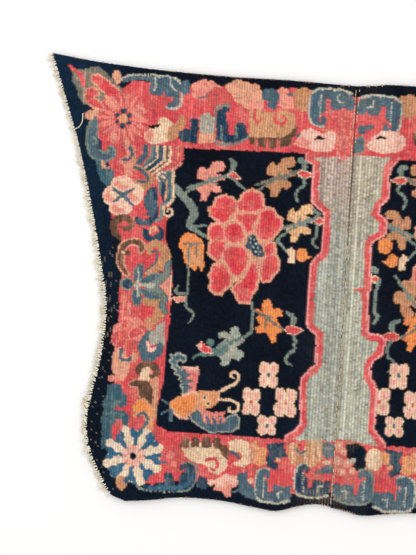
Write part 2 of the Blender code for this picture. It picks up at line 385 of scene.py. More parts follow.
def drawTopBorder(c, side):
    left = side == "left"
    # long scroll by the corner
    c.draw(
        ("band", "chalk", [354, 305, 340, 310, 306, 313, 276, 310, 266, 303, 263, 274, 273, 265, 284, 266], 4),
        ("band", "slate", [350, 303, 331, 307, 311, 307], 7),
        ("patch", "slate", [315, 309, 288, 312, 270, 306, 267, 298, 265, 274, 273, 267, 283, 267, 284, 274,
            277, 273, 274, 281, 286, 282, 289, 292, 291, 283, 309, 284, 313, 292, 310, 301]),
        ("band", "chalk", [303, 310, 302, 294, 304, 290], 2.8),
        ("band", "chalk", [281, 306, 278, 297, 272, 292], 2.8),
        ("patch", "slate", [263, 307, 253, 309, 250, 301, 251, 289, 260, 285, 266, 291, 266, 303]),
        # pale cloud lobes
        ("lobes", "blush", ((240, 299), 17), ((232, 303), 16), ((228, 293), 16), ((242, 290), 13), ((220, 298),
            15)),
        ("patch", "dusk", [247, 294, 214, 300, 209, 277, 230, 279, 242, 283]),
        ("band", "slate", [236, 284, 228, 286, 226, 290], 3),
        ("lobes", "blush", ((231, 303), 17), ((219, 302), 17), ((210, 296), 15)),
        ("patch", "rose", [216, 301, 196, 300, 186, 283, 202, 265, 223, 272, 227, 286]),
        ("lobes", "peach", ((190, 302), 15), ((180, 306), 17), ((169, 304), 18), ((155, 302), 17), ((149, 295), 15),
            ((146, 284), 14)),
        ("patch", "peach", [194, 300, 147, 303, 140, 280, 141, 273, 163, 271, 173, 276, 184, 282]),
        ("patch", "blush", [164, 287, 140, 281, 140, 273, 162, 272]),
        ("patch", "slate", [140, 303, 130, 305, 118, 301, 116, 290, 120, 281, 119, 275, 129, 273, 136, 279,
            133, 285, 143, 287, 144, 294]),
        ("patch", "blush", [120, 302, 113, 307, 105, 305, 103, 295, 96, 293, 94, 277, 111, 273, 118, 280,
            116, 292]),
        ("band", "slate", [104, 297, 96, 296], 3.6),
        ("lobes", "sand", ((89, 299), 14), ((79, 301), 16), ((70, 299), 15)),
        ("patch", "sand", [94, 298, 65, 301, 64, 276, 82, 272, 93, 280]),
        # the block with two spirals and a comb of teeth
        ("patch", "buff", [161, 270, 148, 273, 136, 268, 119, 270, 103, 273, 92, 266, 89, 251, 97, 234, 105, 230,
            158, 229]),
        ("band", "coral", [152, 270, 153, 260, 149, 253, 143, 256, 145, 261], 4.6, 4.6, 4.6, 3.6),
        ("band", "coral", [121, 267, 121, 256, 111, 251, 105, 258, 107, 263, 113, 262], 5, 5.5, 5, 4, 3.4),
        *[("patch", "bark", points) for points in (
            [159, 229, 148, 230, 148, 217, 156, 220], [146, 230, 132, 229, 132, 215, 144, 216],
            [129, 230, 116, 230, 115, 215, 127, 215], [113, 230, 93, 235, 94, 221, 110, 216],
        )],
        ("band", "bark", [158, 229, 134, 229, 108, 230, 94, 236, 88, 249], 3, 3, 6, 9, 5),
        # denim scroll beside it
        ("band", "sage", [190, 274, 200, 275, 210, 268, 212, 255, 210, 221, 194, 216, 174, 220, 160, 229], 4),
        ("patch", "denim", [189, 266, 191, 272, 200, 273, 208, 266, 210, 255, 207, 223, 193, 218, 174, 222,
            160, 230, 164, 244, 169, 251, 180, 249, 180, 233, 188, 229, 191, 245, 194, 256, 196, 263]),
        ("band", "sage", [201, 244, 199, 222], 2.8),
        ("band", "sage", [179, 244, 176, 228], 2.8),
        ("band", "coral", [189, 266, 186, 233], 3.4),
        # leaves along the field: a curled one with a dark eye, then sand, denim, grey and blush ones
        ("patch", "cream", [316, 232, 300, 234, 294, 248, 284, 250, 277, 245, 272, 238, 273, 226, 282, 214,
            311, 212], True),
        ("patch", "blush", [315, 230, 303, 230, 302, 214, 311, 212]),
        ("band", "ink", [313, 237, 303, 235, 293, 240], 2, 5.5, 2.5),
        ("patch", "sand", [281, 238, 272, 241, 264, 254, 257, 253, 256, 239, 265, 224, 278, 215, 282, 226], True),
        ("patch", "denim", [265, 230, 254, 236, 248, 236, 248, 246, 253, 246, 244, 253, 235, 250, 235, 235,
            237, 215, 258, 216, 265, 223]),
        ("patch", "stone", [235, 257, 224, 263, 212, 256, 211, 232, 233, 230]),
        ("patch", "peach", [234, 230, 211, 232, 210, 219, 233, 215]),
    )
    # scroll by the spine, an eyed leaf and worn roses
    if left:
        drawScroll(c, (69, 307), 0, -1, 1.0, "slate", "chalk")
        c.draw(
            ("band", "slate", [88, 235, 81, 237, 75, 241], 3, 4.4, 3),
            ("patch", "pale", [91, 222, 82, 236, 75, 247, 60, 246, 48, 242, 34, 247, 27, 238, 30, 226, 36, 215,
                58, 215, 70, 218], True),
            ("patch", "blush", [91, 222, 80, 235, 65, 230, 67, 218]),
            ("band", "ink", [59, 233, 53, 236, 45, 234], 2.6, 5.4, 2.6),
        )
        rng = np.random.default_rng(3)
        for k in range(26):
            at = (rng.uniform(2, 26), 231 + 30 * rng.uniform(-1, 1))
            c.draw(("oval", ("rose", "dusk", "blush")[k % 3], at, 7, 3.4, 60 + 60 * rng.random()))
    else:
        drawScroll(c, (66, 302), 0, -1, 1.0, "slate", "chalk")
        c.draw(
            ("patch", "slate", [4, 256, 18, 259, 28, 258, 26, 253, 16, 251, 15, 243, 5, 245]),
            ("patch", ("slate", "sage", 2), [0, 234, 11, 240, 15, 232, 12, 218, 1, 215]),
            ("patch", "pale", [17, 226, 26, 238, 35, 248, 49, 253, 73, 245, 71, 224, 40, 218], True),
            ("band", "ink", [32, 239, 38, 242, 47, 241], 2.6, 5.4, 2.6),
        )


def drawSideBorder(c):
    # scroll with a hook, beside the rosette
    c.draw(
        ("band", ("slate", "sage"), [390, 244, 393, 227, 392, 207, 387, 191, 374, 186, 362, 191, 364, 199], 6, 10,
            12, 12, 10, 8, 5),
        ("patch", "denim", [387, 216, 378, 210, 379, 195, 386, 196]),
        ("band", "sage", [390, 213, 384, 208, 390, 204], 3.4),
        ("patch", "teal", [387, 181, 376, 179, 357, 166, 356, 151, 367, 142, 376, 150, 382, 164]),
        ("band", "peach", [376, 180, 373, 171, 366, 170], 4, 6, 4),
        # upright forms of blush and sand, with slate curls
        ("patch", "blush", [348, 210, 328, 205, 324, 185, 329, 178, 329, 159, 341, 158, 343, 175, 352, 180,
            339, 193]),
        ("patch", "sand", [330, 194, 323, 182, 303, 180, 294, 170, 295, 154, 303, 142, 312, 140, 314, 128, 324, 133,
            327, 153, 316, 157, 328, 168]),
        ("patch", "coral", [324, 171, 314, 167, 306, 157, 316, 155, 325, 160]),
        ("band", "slate", [344, 208, 335, 202, 332, 193, 336, 184, 345, 183], 5, 5, 5, 4.4, 3.6),
        ("band", "slate", [326, 174, 314, 168, 306, 160, 309, 153, 322, 153], 5.5, 5.5, 5, 4.4, 3.6),
    )
    # nested stripes that turn at the field's corner
    for points, dye, wide in (
        ([(263, 210), (261, 185), (263, 182), (291, 162)], "blush", 9),
        ([(270, 209), (268, 186), (270, 183), (295, 165)], "rose", 9),
        ([(276, 209), (275, 187), (276, 184), (299, 167)], "cream", 5),
        ([(280, 208), (279, 188), (281, 185), (301, 169)], "bark", 4.6),
        ([(284, 208), (283, 189), (284, 186), (304, 170)], "cream", 4),
        ([(289, 208), (288, 190), (290, 187), (307, 172)], "denim", 7),
        ([(295, 208), (294, 191), (296, 188), (310, 174)], "cream", 4),
        ([(299, 207), (298, 192), (299, 188), (313, 176)], "slate", 6),
        ([(303, 207), (302, 192), (304, 189), (315, 178)], "sage", 5),
        ([(308, 207), (307, 193), (309, 190), (318, 179)], "coral", 6),
        ([(312, 206), (311, 194), (313, 191), (321, 181)], "slate", 8),
    ):
        c.paint(c.band(points, wide), dye, within=c.v < 208.5)
    c.draw(
        ("patch", "rose", [274, 174, 254, 187, 254, 210, 262, 210, 261, 189, 274, 179]),
        # stripes that run down beside the field
        ("patch", "sage", [295, 168, 267, 173, 264, 128, 275, 117, 283, 116, 289, 144]),
        *[("band", dye, points, wide) for points, dye, wide in (
            ([269, 171, 267, 151, 266, 131, 274, 120], "cream", 4),
            ([274, 166, 273, 151, 272, 132, 279, 125], "slate", 5),
            ([278, 159, 277, 144, 278, 130, 282, 127], "peach", 3.6), ([282, 156, 282, 144, 282, 127], "denim", 6),
        )],
        ("patch", "cream", [293, 167, 278, 169, 277, 156, 292, 154]),
        ("band", "slate", [280, 156, 278, 162, 284, 165, 288, 161, 287, 157, 284, 158], 3.4),
        ("band", "coral", [293, 155, 290, 138, 284, 127, 280, 104, 276, 80], 4.4),
        ("oval", "ink", (272, 109), 13, 12),
        ("band", "cream", [279, 117, 279, 107, 273, 103, 266, 107, 267, 114, 272, 114, 274, 110], 3.4),
        # leaf with a hook
        ("patch", "denim", [303, 143, 292, 145, 289, 126, 287, 103, 297, 88, 316, 88, 321, 96, 317, 100, 305, 95,
            296, 106, 306, 111, 310, 128], True),
        ("patch", "slate", [303, 141, 297, 142, 298, 111, 306, 112, 309, 126]),
    )
    # cross-centred blossom
    for at, size in (
        ((343, 147), (31, 21)),
        ((359, 129), (22, 27)),
        ((324, 133), (23, 28)),
        ((344, 112), (31, 22)),
    ):
        c.draw(
            ("oval", ("pale", "cream", 1.6), at, *size),
            ("oval", "blush", (at[0] + 3, at[1] - 2), size[0] * 0.7, size[1] * 0.6),
            ("oval", "cream", (at[0] - 2, at[1] + 2), size[0] * 0.45, size[1] * 0.35),
        )
    c.draw(
        ("band", "slate", [358, 140, 342, 130, 326, 115], 3.4, 8, 3.4),
        ("band", "slate", [326, 141, 342, 130, 356, 120], 3.4, 8, 3.4),
        # brown hooks
        ("band", "bark", [339, 82, 330, 80, 325, 87, 330, 95, 342, 96, 351, 88, 349, 75, 341, 65], 4.5, 7, 9, 10,
            11, 12, 11, 6),
        ("band", ("bark", "peach", 2.6), [309, 49, 308, 57, 318, 62, 330, 59, 337, 49, 339, 34, 335, 20, 328, 13],
            5, 8, 8, 8, 8, 8, 7, 4),
        ("oval", "bark", (329, 44), 10, 9),
        ("oval", "cream", (335, 44), 5, 5),
        # rounded bud by the field
        ("patch", "slate", [318, 98, 313, 99, 308, 94, 295, 96, 289, 112, 289, 126, 308, 125, 302, 111, 306, 103,
            296, 100, 298, 87, 309, 88, 318, 92]),
        ("patch", "denim", [308, 84, 297, 80, 298, 74, 292, 72, 283, 79, 288, 85, 281, 86, 276, 78, 278, 68,
            289, 64, 301, 64, 308, 73], True),
        ("band", "peach", [296, 77, 296, 84, 290, 86, 288, 81, 291, 80], 4, 4.4, 4, 3.4),
        ("band", "sage", [288, 95, 282, 102, 283, 119], 5, 6, 4),
        # sand scroll over the lotus
        ("band", "sand", [296, 46, 297, 55, 287, 60, 275, 54, 272, 41, 278, 30, 289, 22, 299, 16], 7, 10, 12, 14,
            16, 15, 12, 6),
        ("band", "slate", [293, 48, 286, 49, 284, 41, 286, 33, 294, 27, 300, 20], 3.6),
        # sand scroll under the lotus
        ("band", "sand", [297, -27, 282, -27, 274, -37, 279, -48, 289, -58, 293, -70], 12, 17, 18, 17, 16, 11),
        ("oval", "amber", (274, -25), 6, 6),
        ("patch", "coral", [303, -32, 292, -33, 284, -43, 288, -51, 300, -46]),
        # rose ground and lobes below
        ("patch", "rose", [336, -16, 318, -13, 314, -32, 310, -47, 315, -61, 334, -60, 336, -34]),
        *[("oval", "dusk", at, *size, turn) for at, size, turn in (
            ((330, -26), (26, 7), 90), ((322, -38), (22, 6), 90), ((330, -46), (20, 6), 90),
            ((320, -55), (24, 8), 0),
        )],
        *[("oval", (dye, "dusk" if dye == "rose" else "blush", 1.4), at, size, size) for at, size, dye in (
            ((332, -73), 20, "dusk"), ((322, -65), 19, "rose"), ((310, -64), 21, "dusk"), ((300, -71), 17, "rose"),
            ((334, -85), 22, "rose"), ((321, -81), 24, "rose"), ((308, -78), 22, "coral"), ((301, -88), 20, "dusk"),
            ((326, -97), 24, "rose"), ((313, -96), 24, "rose"),
        )],
        # lotus: a ball, two pairs of petals and forked arms
        ("patch", ("blush", "cream", 1.6), [279, -1, 263, 14, 261, -23, 272, -15]),
    )
    c.paint(np.minimum(c.band([(292, 0), (282, 6), (273, 12), (267, 20), (269, 27), (266, 35)], 14, 12, 9, 8, 7, 4),
        c.band([(291, -4), (280, -10), (270, -20), (272, -30), (266, -41)], 14, 10, 7, 8, 5)), "sage", "teal", 1.6)
    c.draw(
        ("oval", "bark", (279, 19), 9, 6, 20),
        *[("patch", ("slate", "sage", 1.3), points) for points in (
            [318, 19, 312, 28, 304, 26, 305, 14, 308, 2, 316, 3],
            [308, 2, 300, 11, 288, 15, 275, 15, 286, 8, 298, 1],
            [307, -8, 296, -10, 284, -17, 273, -21, 288, -23, 300, -18],
            [317, -10, 308, -9, 304, -24, 307, -33, 314, -32, 318, -20],
        )],
        ("band", "chalk", [317, -3, 304, -2, 290, -2], 4.4, 5, 8),
        ("band", "chalk", [313, 22, 311, 10, 311, -3, 310, -20], 2.6, 3.6, 4.4, 2.6),
        ("oval", ("denim", "sage", 2.6), (327, -2), 15, 14),
        # hooked leaf by the field
        ("patch", "stone", [286, -91, 285, -76, 277, -61, 267, -53, 264, -90]),
        ("band", "slate", [289, -74, 298, -92, 290, -110, 276, -103, 271, -92, 281, -87], 9, 13, 16, 13, 9, 6),
        ("oval", "stone", (280, -80), 18, 22),
        ("band", "pale", [291, -88, 287, -100, 280, -96], 5),
        # peach lobes with a slate curl
        ("patch", "peach", [343, -114, 340, -103, 330, -99, 322, -105, 313, -104, 304, -109, 306, -117, 315, -120,
            315, -130, 320, -144, 329, -147, 335, -140, 340, -134], True),
        ("band", "slate", [329, -101, 330, -112, 324, -116, 316, -115, 315, -111], 4, 5, 5, 5, 3),
        ("patch", "coral", [323, -100, 313, -103, 316, -110, 324, -111]),
        ("lobes", "blush", ((340, -145), 11), ((333, -146), 9), ((325, -144), 9)),
        # brown arch with a peach tongue, and the brown leaf that turns amber
        ("patch", "peach", [286, -128, 271, -135, 269, -161, 270, -200, 276, -201, 277, -162]),
        ("patch", "cream", [298, -124, 285, -126, 284, -147, 300, -146]),
        ("band", "bark", [301, -133, 299, -124, 288, -120, 275, -125, 273, -133, 281, -138], 8, 10, 11, 11, 9, 7),
        ("patch", ("bark", "peach", 1.8), [313, -151, 305, -145, 286, -146, 278, -154, 276, -180, 282, -183,
            291, -176, 298, -166, 300, -155, 310, -155]),
        ("patch", "honey", [301, -174, 290, -171, 278, -181, 273, -193, 273, -211, 278, -229, 291, -232, 287, -214,
            296, -207, 306, -198, 307, -185]),
        ("patch", "amber", [304, -180, 294, -176, 282, -183, 278, -190, 288, -190, 302, -195]),
        ("patch", "coral", [300, -200, 288, -197, 286, -212, 296, -212]),
        ("band", "slate", [298, -198, 291, -193, 284, -199, 284, -209, 292, -220], 4, 4.8, 5, 5, 4),
        # teal wave by the rear corner
        ("patch", ("teal", "slate", 1.4), [344, -156, 327, -154, 324, -165, 316, -172, 316, -182, 325, -187,
            328, -181, 336, -186, 334, -193, 320, -193, 312, -200, 313, -213, 320, -212, 321, -204, 333, -204,
            334, -225, 338, -246, 348, -250, 351, -203, 347, -190, 351, -185, 345, -171]),
        ("band", "fern", [324, -179, 332, -180, 333, -188], 4.2),
        ("band", "fern", [346, -200, 333, -196, 320, -198], 3.2),
    )


def drawRearCorner(c):
    # snowflake rosette: blue forked arms between cream petals
    c.draw(
        ("patch", "coral", [336, -215, 327, -209, 321, -237, 333, -246]),
        ("patch", "coral", [287, -282, 253, -275, 252, -296, 284, -298]),
    )
    heart = (301, -259)
    c.draw(
        ("petals", "milk", heart, 28, 38, 18, 8, 25),
        ("petals", "milk", heart, 30, 20, 13, 8, 3),
        ("oval", "milk", heart, 62, 60),
        ("oval", "sand", (316, -300), 17, 22),
        ("petals", "azure", heart, 24, 32, 6.5, 8, 3),
        ("petals", "azure", heart, 32, 12, 10, 8, 3),
        ("petals", "azure", heart, 37, 13, 7, 8, 12),
        ("petals", "azure", heart, 36, 14, 7, 8, -6),
        ("lobes", "azure", ((321, -279), 13), ((328, -288), 12), ((277, -230), 15), ((325, -233), 11)),
        ("band", "azure", [268, -265, 251, -266], 5, 3),
        ("petals", "pale", heart, 12, 14, 8, 8, 20),
        ("petals", "blush", heart, 12, 9, 3, 8, 2),
        ("oval", "pale", heart, 18, 18),
        ("oval", "ink", heart, 10, 10),
        ("band", "coral", [333, -215, 334, -225, 331, -235], 4.5),
    )


def drawRearBorder(c, side):
    left = side == "left"
    # faded ground, and a comb of teeth over a cream spiral
    c.draw(
        ("patch", ("rose", "rose", 2), [255, -244, 236, -240, 229, -255, 234, -274, 250, -270, 258, -257], True),
        ("lobes", "dusk", ((246, -254), 12), ((240, -267), 9)),
        ("patch", "cream", [229, -241, 174, -238, 159, -255, 160, -270, 172, -279, 184, -276, 192, -266, 211, -262,
            224, -255]),
        ("band", "coral", [192, -258, 179, -256, 174, -264, 179, -272, 185, -270], 5.5, 5.5, 5, 4, 3),
        *[("patch", "bark", points) for points in (
            [232, -239, 229, -227, 220, -227, 217, -241], [216, -231, 213, -225, 205, -224, 202, -239],
            [200, -230, 198, -224, 188, -223, 185, -238],
            [184, -229, 182, -224, 174, -223, 171, -234, 162, -235, 158, -245, 158, -257, 169, -249, 172, -242],
        )],
        ("band", "bark", [229, -238, 200, -236, 168, -237], 8),
        *[("band", "cream", points, 3.0) for points in (
            [218, -233, 216, -245], [202, -233, 200, -244], [184, -234, 183, -243],
        )],
        # denim scroll beside the rosette, with pale and slate forms
        ("band", "sage", [292, -303, 282, -309, 232, -308, 211, -301, 205, -280, 207, -267, 224, -264], 4),
        ("patch", "denim", [289, -298, 264, -301, 258, -286, 250, -279, 239, -282, 236, -298, 232, -298, 228, -281,
            220, -273, 231, -276, 229, -267, 218, -263, 208, -270, 205, -284, 209, -300, 232, -307, 279, -308]),
        ("band", "azure", [274, -305, 253, -304, 222, -300, 211, -285], 6),
        ("band", "coral", [283, -295, 269, -297, 257, -293], 4, 5, 3),
        ("band", "slate", [253, -287, 249, -299], 2.8),
        ("band", "slate", [218, -269, 215, -291], 2.8),
        ("patch", "denim", [203, -282, 189, -285, 185, -299, 196, -302, 203, -297]),
        ("patch", "blush", [177, -303, 174, -291, 167, -281, 156, -279, 142, -279, 140, -292, 150, -298, 151, -311,
            158, -311, 164, -303]),
        ("lobes", "pale", ((170, -291), 15), ((158, -284), 15), ((147, -286), 15), ((182, -291), 9)),
        ("patch", "slate", [143, -275, 128, -273, 129, -283, 116, -295, 113, -314, 128, -311, 139, -304, 152, -304,
            140, -297]),
        ("oval", "pale", (123, -285), 9, 8),
        # cream cloud, honey leaf and denim leaf
        ("patch", "cream", [160, -228, 145, -224, 130, -230, 125, -244, 125, -257, 134, -264, 145, -264, 150, -260,
            139, -253, 143, -243, 157, -243], True),
        ("band", "slate", [155, -244, 147, -246, 144, -252], 5, 5, 3.4),
        ("patch", "honey", [127, -231, 120, -224, 114, -233, 101, -235, 103, -246, 100, -258, 111, -263,
            125, -258]),
        ("patch", "peach", [127, -231, 120, -230, 118, -260, 125, -258]),
        ("patch", "denim", [103, -228, 75, -225, 75, -238, 68, -244, 77, -248, 87, -252, 90, -254, 82, -260,
            87, -267, 99, -262, 102, -249, 98, -243]),
        ("oval", "honey", (84, -252), 7, 7),
        # streaky sand cloud up to the spine
        ("patch", "sand", [73, -230, 53, -221, 16, -221, 14, -240, 28, -257, 50, -260, 65, -254], True),
        *[("band", "cream", points, 3.4) for points in (
            [64, -226, 61, -255], [47, -225, 39, -258], [33, -222, 30, -253], [24, -222, 22, -246],
        )],
        ("patch", "coral", [57, -220, 44, -219, 45, -234, 51, -237]),
        ("band", "slate", [56, -234, 51, -239, 44, -236], 4),
    )
    # two blue scrolls, their arches below
    drawScroll(c, (114, -314), 180, 0.92, 0.88, "slate", "chalk")
    if left:
        drawScroll(c, (55, -302), 180, 0.94, 0.86, "denim", "chalk")
        c.draw(
            ("patch", "slate", [20, -222, 12, -219, 1, -223, -1, -242, 11, -245, 18, -238]),
            ("band", "sage", [18, -229, 2, -229], 2.6),
            ("patch", "slate", [28, -268, 10, -254, 1, -255, 0, -267]),
            ("oval", "cream", (10, -250), 13, 7),
        )
    else:
        c.draw(
            ("patch", "rose", [0, -219, 18, -215, 22, -238, 30, -252, 31, -269, 3, -274]),
            *[("oval", dye, at, wide, wide) for at, size in (
                ((6, -224), 13), ((14, -233), 12), ((7, -248), 14), ((21, -250), 14),
                ((13, -264), 11), ((27, -261), 10),
            ) for dye, wide in (("blush", size), ("cream", 4))],
            ("patch", "ink", [17, -222, 34, -219, 47, -228, 46, -242, 50, -249, 39, -259, 28, -255, 31, -248,
                20, -243], True),
            ("oval", "chalk", (28, -246), 9, 8),
            ("oval", "cream", (60, -241), 26, 34),
            ("patch", "honey", [69, -229, 83, -230, 84, -248, 72, -247]),
        )
        drawScroll(c, (59, -308), 180, 0.96, 0.92, "slate", "sage")
        drawScroll(c, (123, -316), 180, 1, 0.94, "slate", "chalk")


def drawPeony(c):
    petals = (
        [(208, 119), (201, 122), (200, 132), (191, 136), (180, 135), (172, 127), (173, 117), (179, 110), (188, 99),
            (195, 104), (206, 110)],
        [(169, 129), (162, 134), (159, 143), (148, 148), (138, 144), (133, 135), (131, 123), (147, 120),
            (165, 120)],
        [(169, 111), (153, 114), (138, 113), (141, 105), (146, 99), (145, 89), (152, 89), (158, 100), (166, 105)],
        [(134, 115), (124, 122), (113, 118), (111, 111), (104, 108), (104, 97), (110, 91), (114, 82), (129, 78),
            (137, 87), (137, 97), (132, 103)],
        [(185, 86), (180, 95), (168, 99), (162, 93), (158, 82), (161, 74), (173, 70), (182, 76)],
        [(207, 86), (203, 93), (192, 94), (188, 85), (188, 74), (199, 72), (206, 76)],
        [(205, 64), (198, 71), (186, 69), (186, 56), (190, 50), (194, 42), (199, 48), (205, 53)],
        [(183, 56), (177, 62), (158, 63), (150, 50), (151, 38), (156, 29), (162, 22), (170, 25), (176, 34),
            (182, 44)],
        [(200, 22), (199, 32), (187, 35), (178, 26), (173, 15), (174, 6), (182, 2), (186, -6), (197, -4), (201, 3),
            (198, 11), (202, 17)],
        [(125, 63), (118, 72), (111, 69), (112, 60), (116, 54), (124, 55)],
        [(126, 41), (119, 52), (108, 53), (104, 44), (105, 33), (111, 27), (114, 19), (122, 16), (127, 26)],
        [(166, 2), (152, 14), (147, 25), (144, 39), (136, 39), (133, 20), (135, 4), (140, -3), (141, -15),
            (156, -16), (161, -5)],
    )
    c.paint(np.minimum.reduce([c.patch(swelled(points, 5.0)) for points in petals]) - 0.6, "peach")
    c.draw(
        ("patch", "peach", [202, 99, 170, 120, 134, 120, 115, 74, 116, 49, 140, 31, 169, 7, 187, 36, 200, 66]),
        ("oval", "peach", (138, 68), 28, 34),
    )
    shapes = [c.patch(swelled(points, 0.8)) for points in petals]
    for shape in shapes:
        c.paint(shape - 1.6, "blush")
        c.paint(shape, "crimson")
        c.paint(shape + 5.5, "berry")
    # seeded heart
    c.draw(
        ("patch", ("denim", "peach", 2), [151, 74, 149, 82, 140, 83, 134, 71, 126, 62, 127, 52, 139, 51, 145, 60,
            154, 65], True),
        ("lobes", "chalk", ((147, 78), 3), ((141, 76), 3), ((146, 72), 3), ((138, 70), 3), ((142, 65), 3),
            ((135, 64), 3), ((138, 59), 3), ((131, 58), 3), ((134, 54), 3)),
    )


def drawStems(c, side):
    c.draw(
        ("band", "sage", [266, 149, 252, 135, 238, 121, 233, 108, 239, 93, 226, 83, 211, 76], 8, 12, 12.5, 12, 10,
            6, 4),
        ("band", "sage", [233, 91, 214, 92], 3.6),
    )
    # three leaves that reach up to the right, each with a bud
    for at, dye, vein, size in (
        ((212, 159), "blush", "sage", 1.0),
        ((107, 171), "sand", "moss", 1.02),
        ((74, 104), "straw" if side == "left" else "sand", "sage", 0.96),
    ):
        drawLeaf(c, at, 0, size, dye, vein)
    c.draw(
        ("band", "sage", [250, 139, 233, 150, 209, 161, 184, 170], 4.4),
        ("band", "sage", [183, 194, 178, 188, 180, 179, 184, 169], 6, 8, 7, 6),
        ("patch", ("coral", "cream", 1.6), [186, 170, 179, 175, 167, 167, 176, 164]),
        ("band", "sage", [181, 167, 168, 158, 159, 151], 4, 3.6, 3),
        ("band", "moss", [140, 150, 123, 163, 105, 171, 82, 181], 4),
        ("band", "sage", [80, 200, 72, 196, 74, 183, 78, 176], 6, 8.5, 7, 6),
        ("patch", ("coral", "cream", 1.6), [82, 179, 73, 184, 59, 179, 72, 173]),
        ("band", "sage", [72, 173, 70, 164, 80, 155, 82, 145, 79, 138], 4.5, 4.5, 4.4, 4, 3),
        ("band", "sage", [108, 76, 91, 92, 70, 104, 53, 113], 4.2),
        ("band", "sage", [104, 75, 98, 69, 91, 61], 4),
        ("patch", "cream", [93, 63, 82, 68, 78, 60, 79, 45, 90, 45, 87, 54]),
        ("oval", "amber", (68, 58), 18, 20),
        ("band", "amber", [64, 55, 55, 56], 6, 3),
        # amber leaf that hangs, and its long stalk
        ("patch", "amber", [254, 59, 251, 71, 243, 80, 232, 80, 220, 72, 216, 65, 214, 32, 217, 22, 222, 32,
            226, 24, 231, 27, 236, 30, 243, 35, 248, 55]),
        ("patch", "honey", [246, 53, 217, 58, 215, 34, 219, 28, 224, 33, 228, 28, 233, 31, 240, 36]),
        ("band", "moss", [246, 64, 232, 64, 220, 66], 3.4),
        ("band", "moss", [227, 62, 226, 45], 3.0),
        ("band", "sage", [232, 63, 238, 56, 237, 32, 236, 2, 237, -22, 235, -32, 225, -39, 226, -48, 231, -54], 3.4,
            3.4, 3.6, 3.8, 4, 4, 4, 3.6, 2.6),
        ("band", "sage", [237, -11, 251, -12, 254, -6, 250, 0], 4, 4, 4, 3),
        ("patch", ("blush", "cream", 1), [257, -19, 248, -16, 238, -16, 238, -20, 251, -25]),
    )
    if side == "left":
        c.draw(("band", "sage", [49, 114, 48, 122, 54, 126], 6, 6, 5))
        drawBud(c, (45, 110), 180, 0.95)
        c.draw(("band", "sage", [50, 106, 47, 91, 53, 80, 51, 75, 45, 70], 4.4, 4.4, 4.2, 4, 3.4))
    else:
        c.draw(("oval", "amber", (56, 80), 22, 24))
        drawLeaf(c, (98, 8), 150, 1.0, "sand", "sage")
        c.draw(("band", "sage", [45, 42, 41, 44, 37, 41], 8, 9, 5))
        drawBud(c, (44, 29), 180, 0.95)
        c.draw(
            ("band", "sage", [50, 26, 46, 6, 46, -17, 51, -27, 46, -37], 6, 4.6, 4.4, 5, 3.6),
        )
    # stem below the peony with an amber leaf and a mist-coloured leaf
    c.draw(
        ("band", "sage", [138, -18, 137, -33, 135, -54, 138, -65, 148, -71, 159, -76], 4, 4, 4, 4, 4.4, 4.4),
        ("patch", "amber", [135, -29, 128, -27, 120, -31, 123, -22, 120, -13, 110, -13, 106, -25, 96, -24, 91, -29,
            92, -36, 101, -38, 98, -44, 93, -49, 90, -55, 91, -61, 99, -62, 99, -75, 104, -76, 109, -67, 114, -62,
            128, -62, 130, -56, 122, -51, 130, -42, 126, -36]),
        ("band", "moss", [136, -29, 121, -36, 101, -48, 86, -57], 3.8, 4.2, 4.2, 4.6),
        ("band", "moss", [118, -37, 106, -38], 3.0),
        ("band", "moss", [115, -43, 116, -55], 3.0),
        ("band", "sage", [84, -31, 76, -34, 73, -40, 75, -49], 5, 8, 9, 7),
        ("patch", ("crimson", "pale", 1.2), [86, -56, 80, -50, 68, -51, 59, -55, 72, -62, 81, -60]),
        ("band", "sage", [74, -62, 70, -72, 71, -85, 80, -94, 82, -103, 73, -108], 5, 4.6, 4.4, 4.2, 4, 3),
        ("patch", "mist", [186, -66, 176, -64, 167, -68, 166, -59, 158, -54, 154, -57, 153, -65, 149, -71, 146, -74,
            147, -80, 156, -84, 154, -90, 145, -92, 146, -99, 152, -106, 159, -105, 163, -104, 167, -113, 175, -116,
            178, -114, 178, -105, 184, -100, 187, -92, 184, -83, 177, -79, 174, -75, 183, -73]),
        ("patch", "sage", [184, -83, 173, -80, 167, -89, 178, -103, 186, -98]),
        ("band", "fern", [147, -70, 161, -77, 174, -87, 184, -96, 200, -99, 214, -102, 221, -108], 4, 4.4, 5, 7,
            6.4, 4.6, 3),
        ("band", "fern", [168, -80, 171, -76], 3),
        ("oval", "fern", (196, -81), 13, 9),
        ("band", "fern", [196, -82, 196, -91, 186, -95], 6, 5.5, 6),
        ("patch", ("crimson", "pale", 1.2), [215, -87, 208, -84, 198, -90, 192, -97, 203, -96, 210, -94]),
        ("oval", "pale", (211, -88), 7, 6),
    )


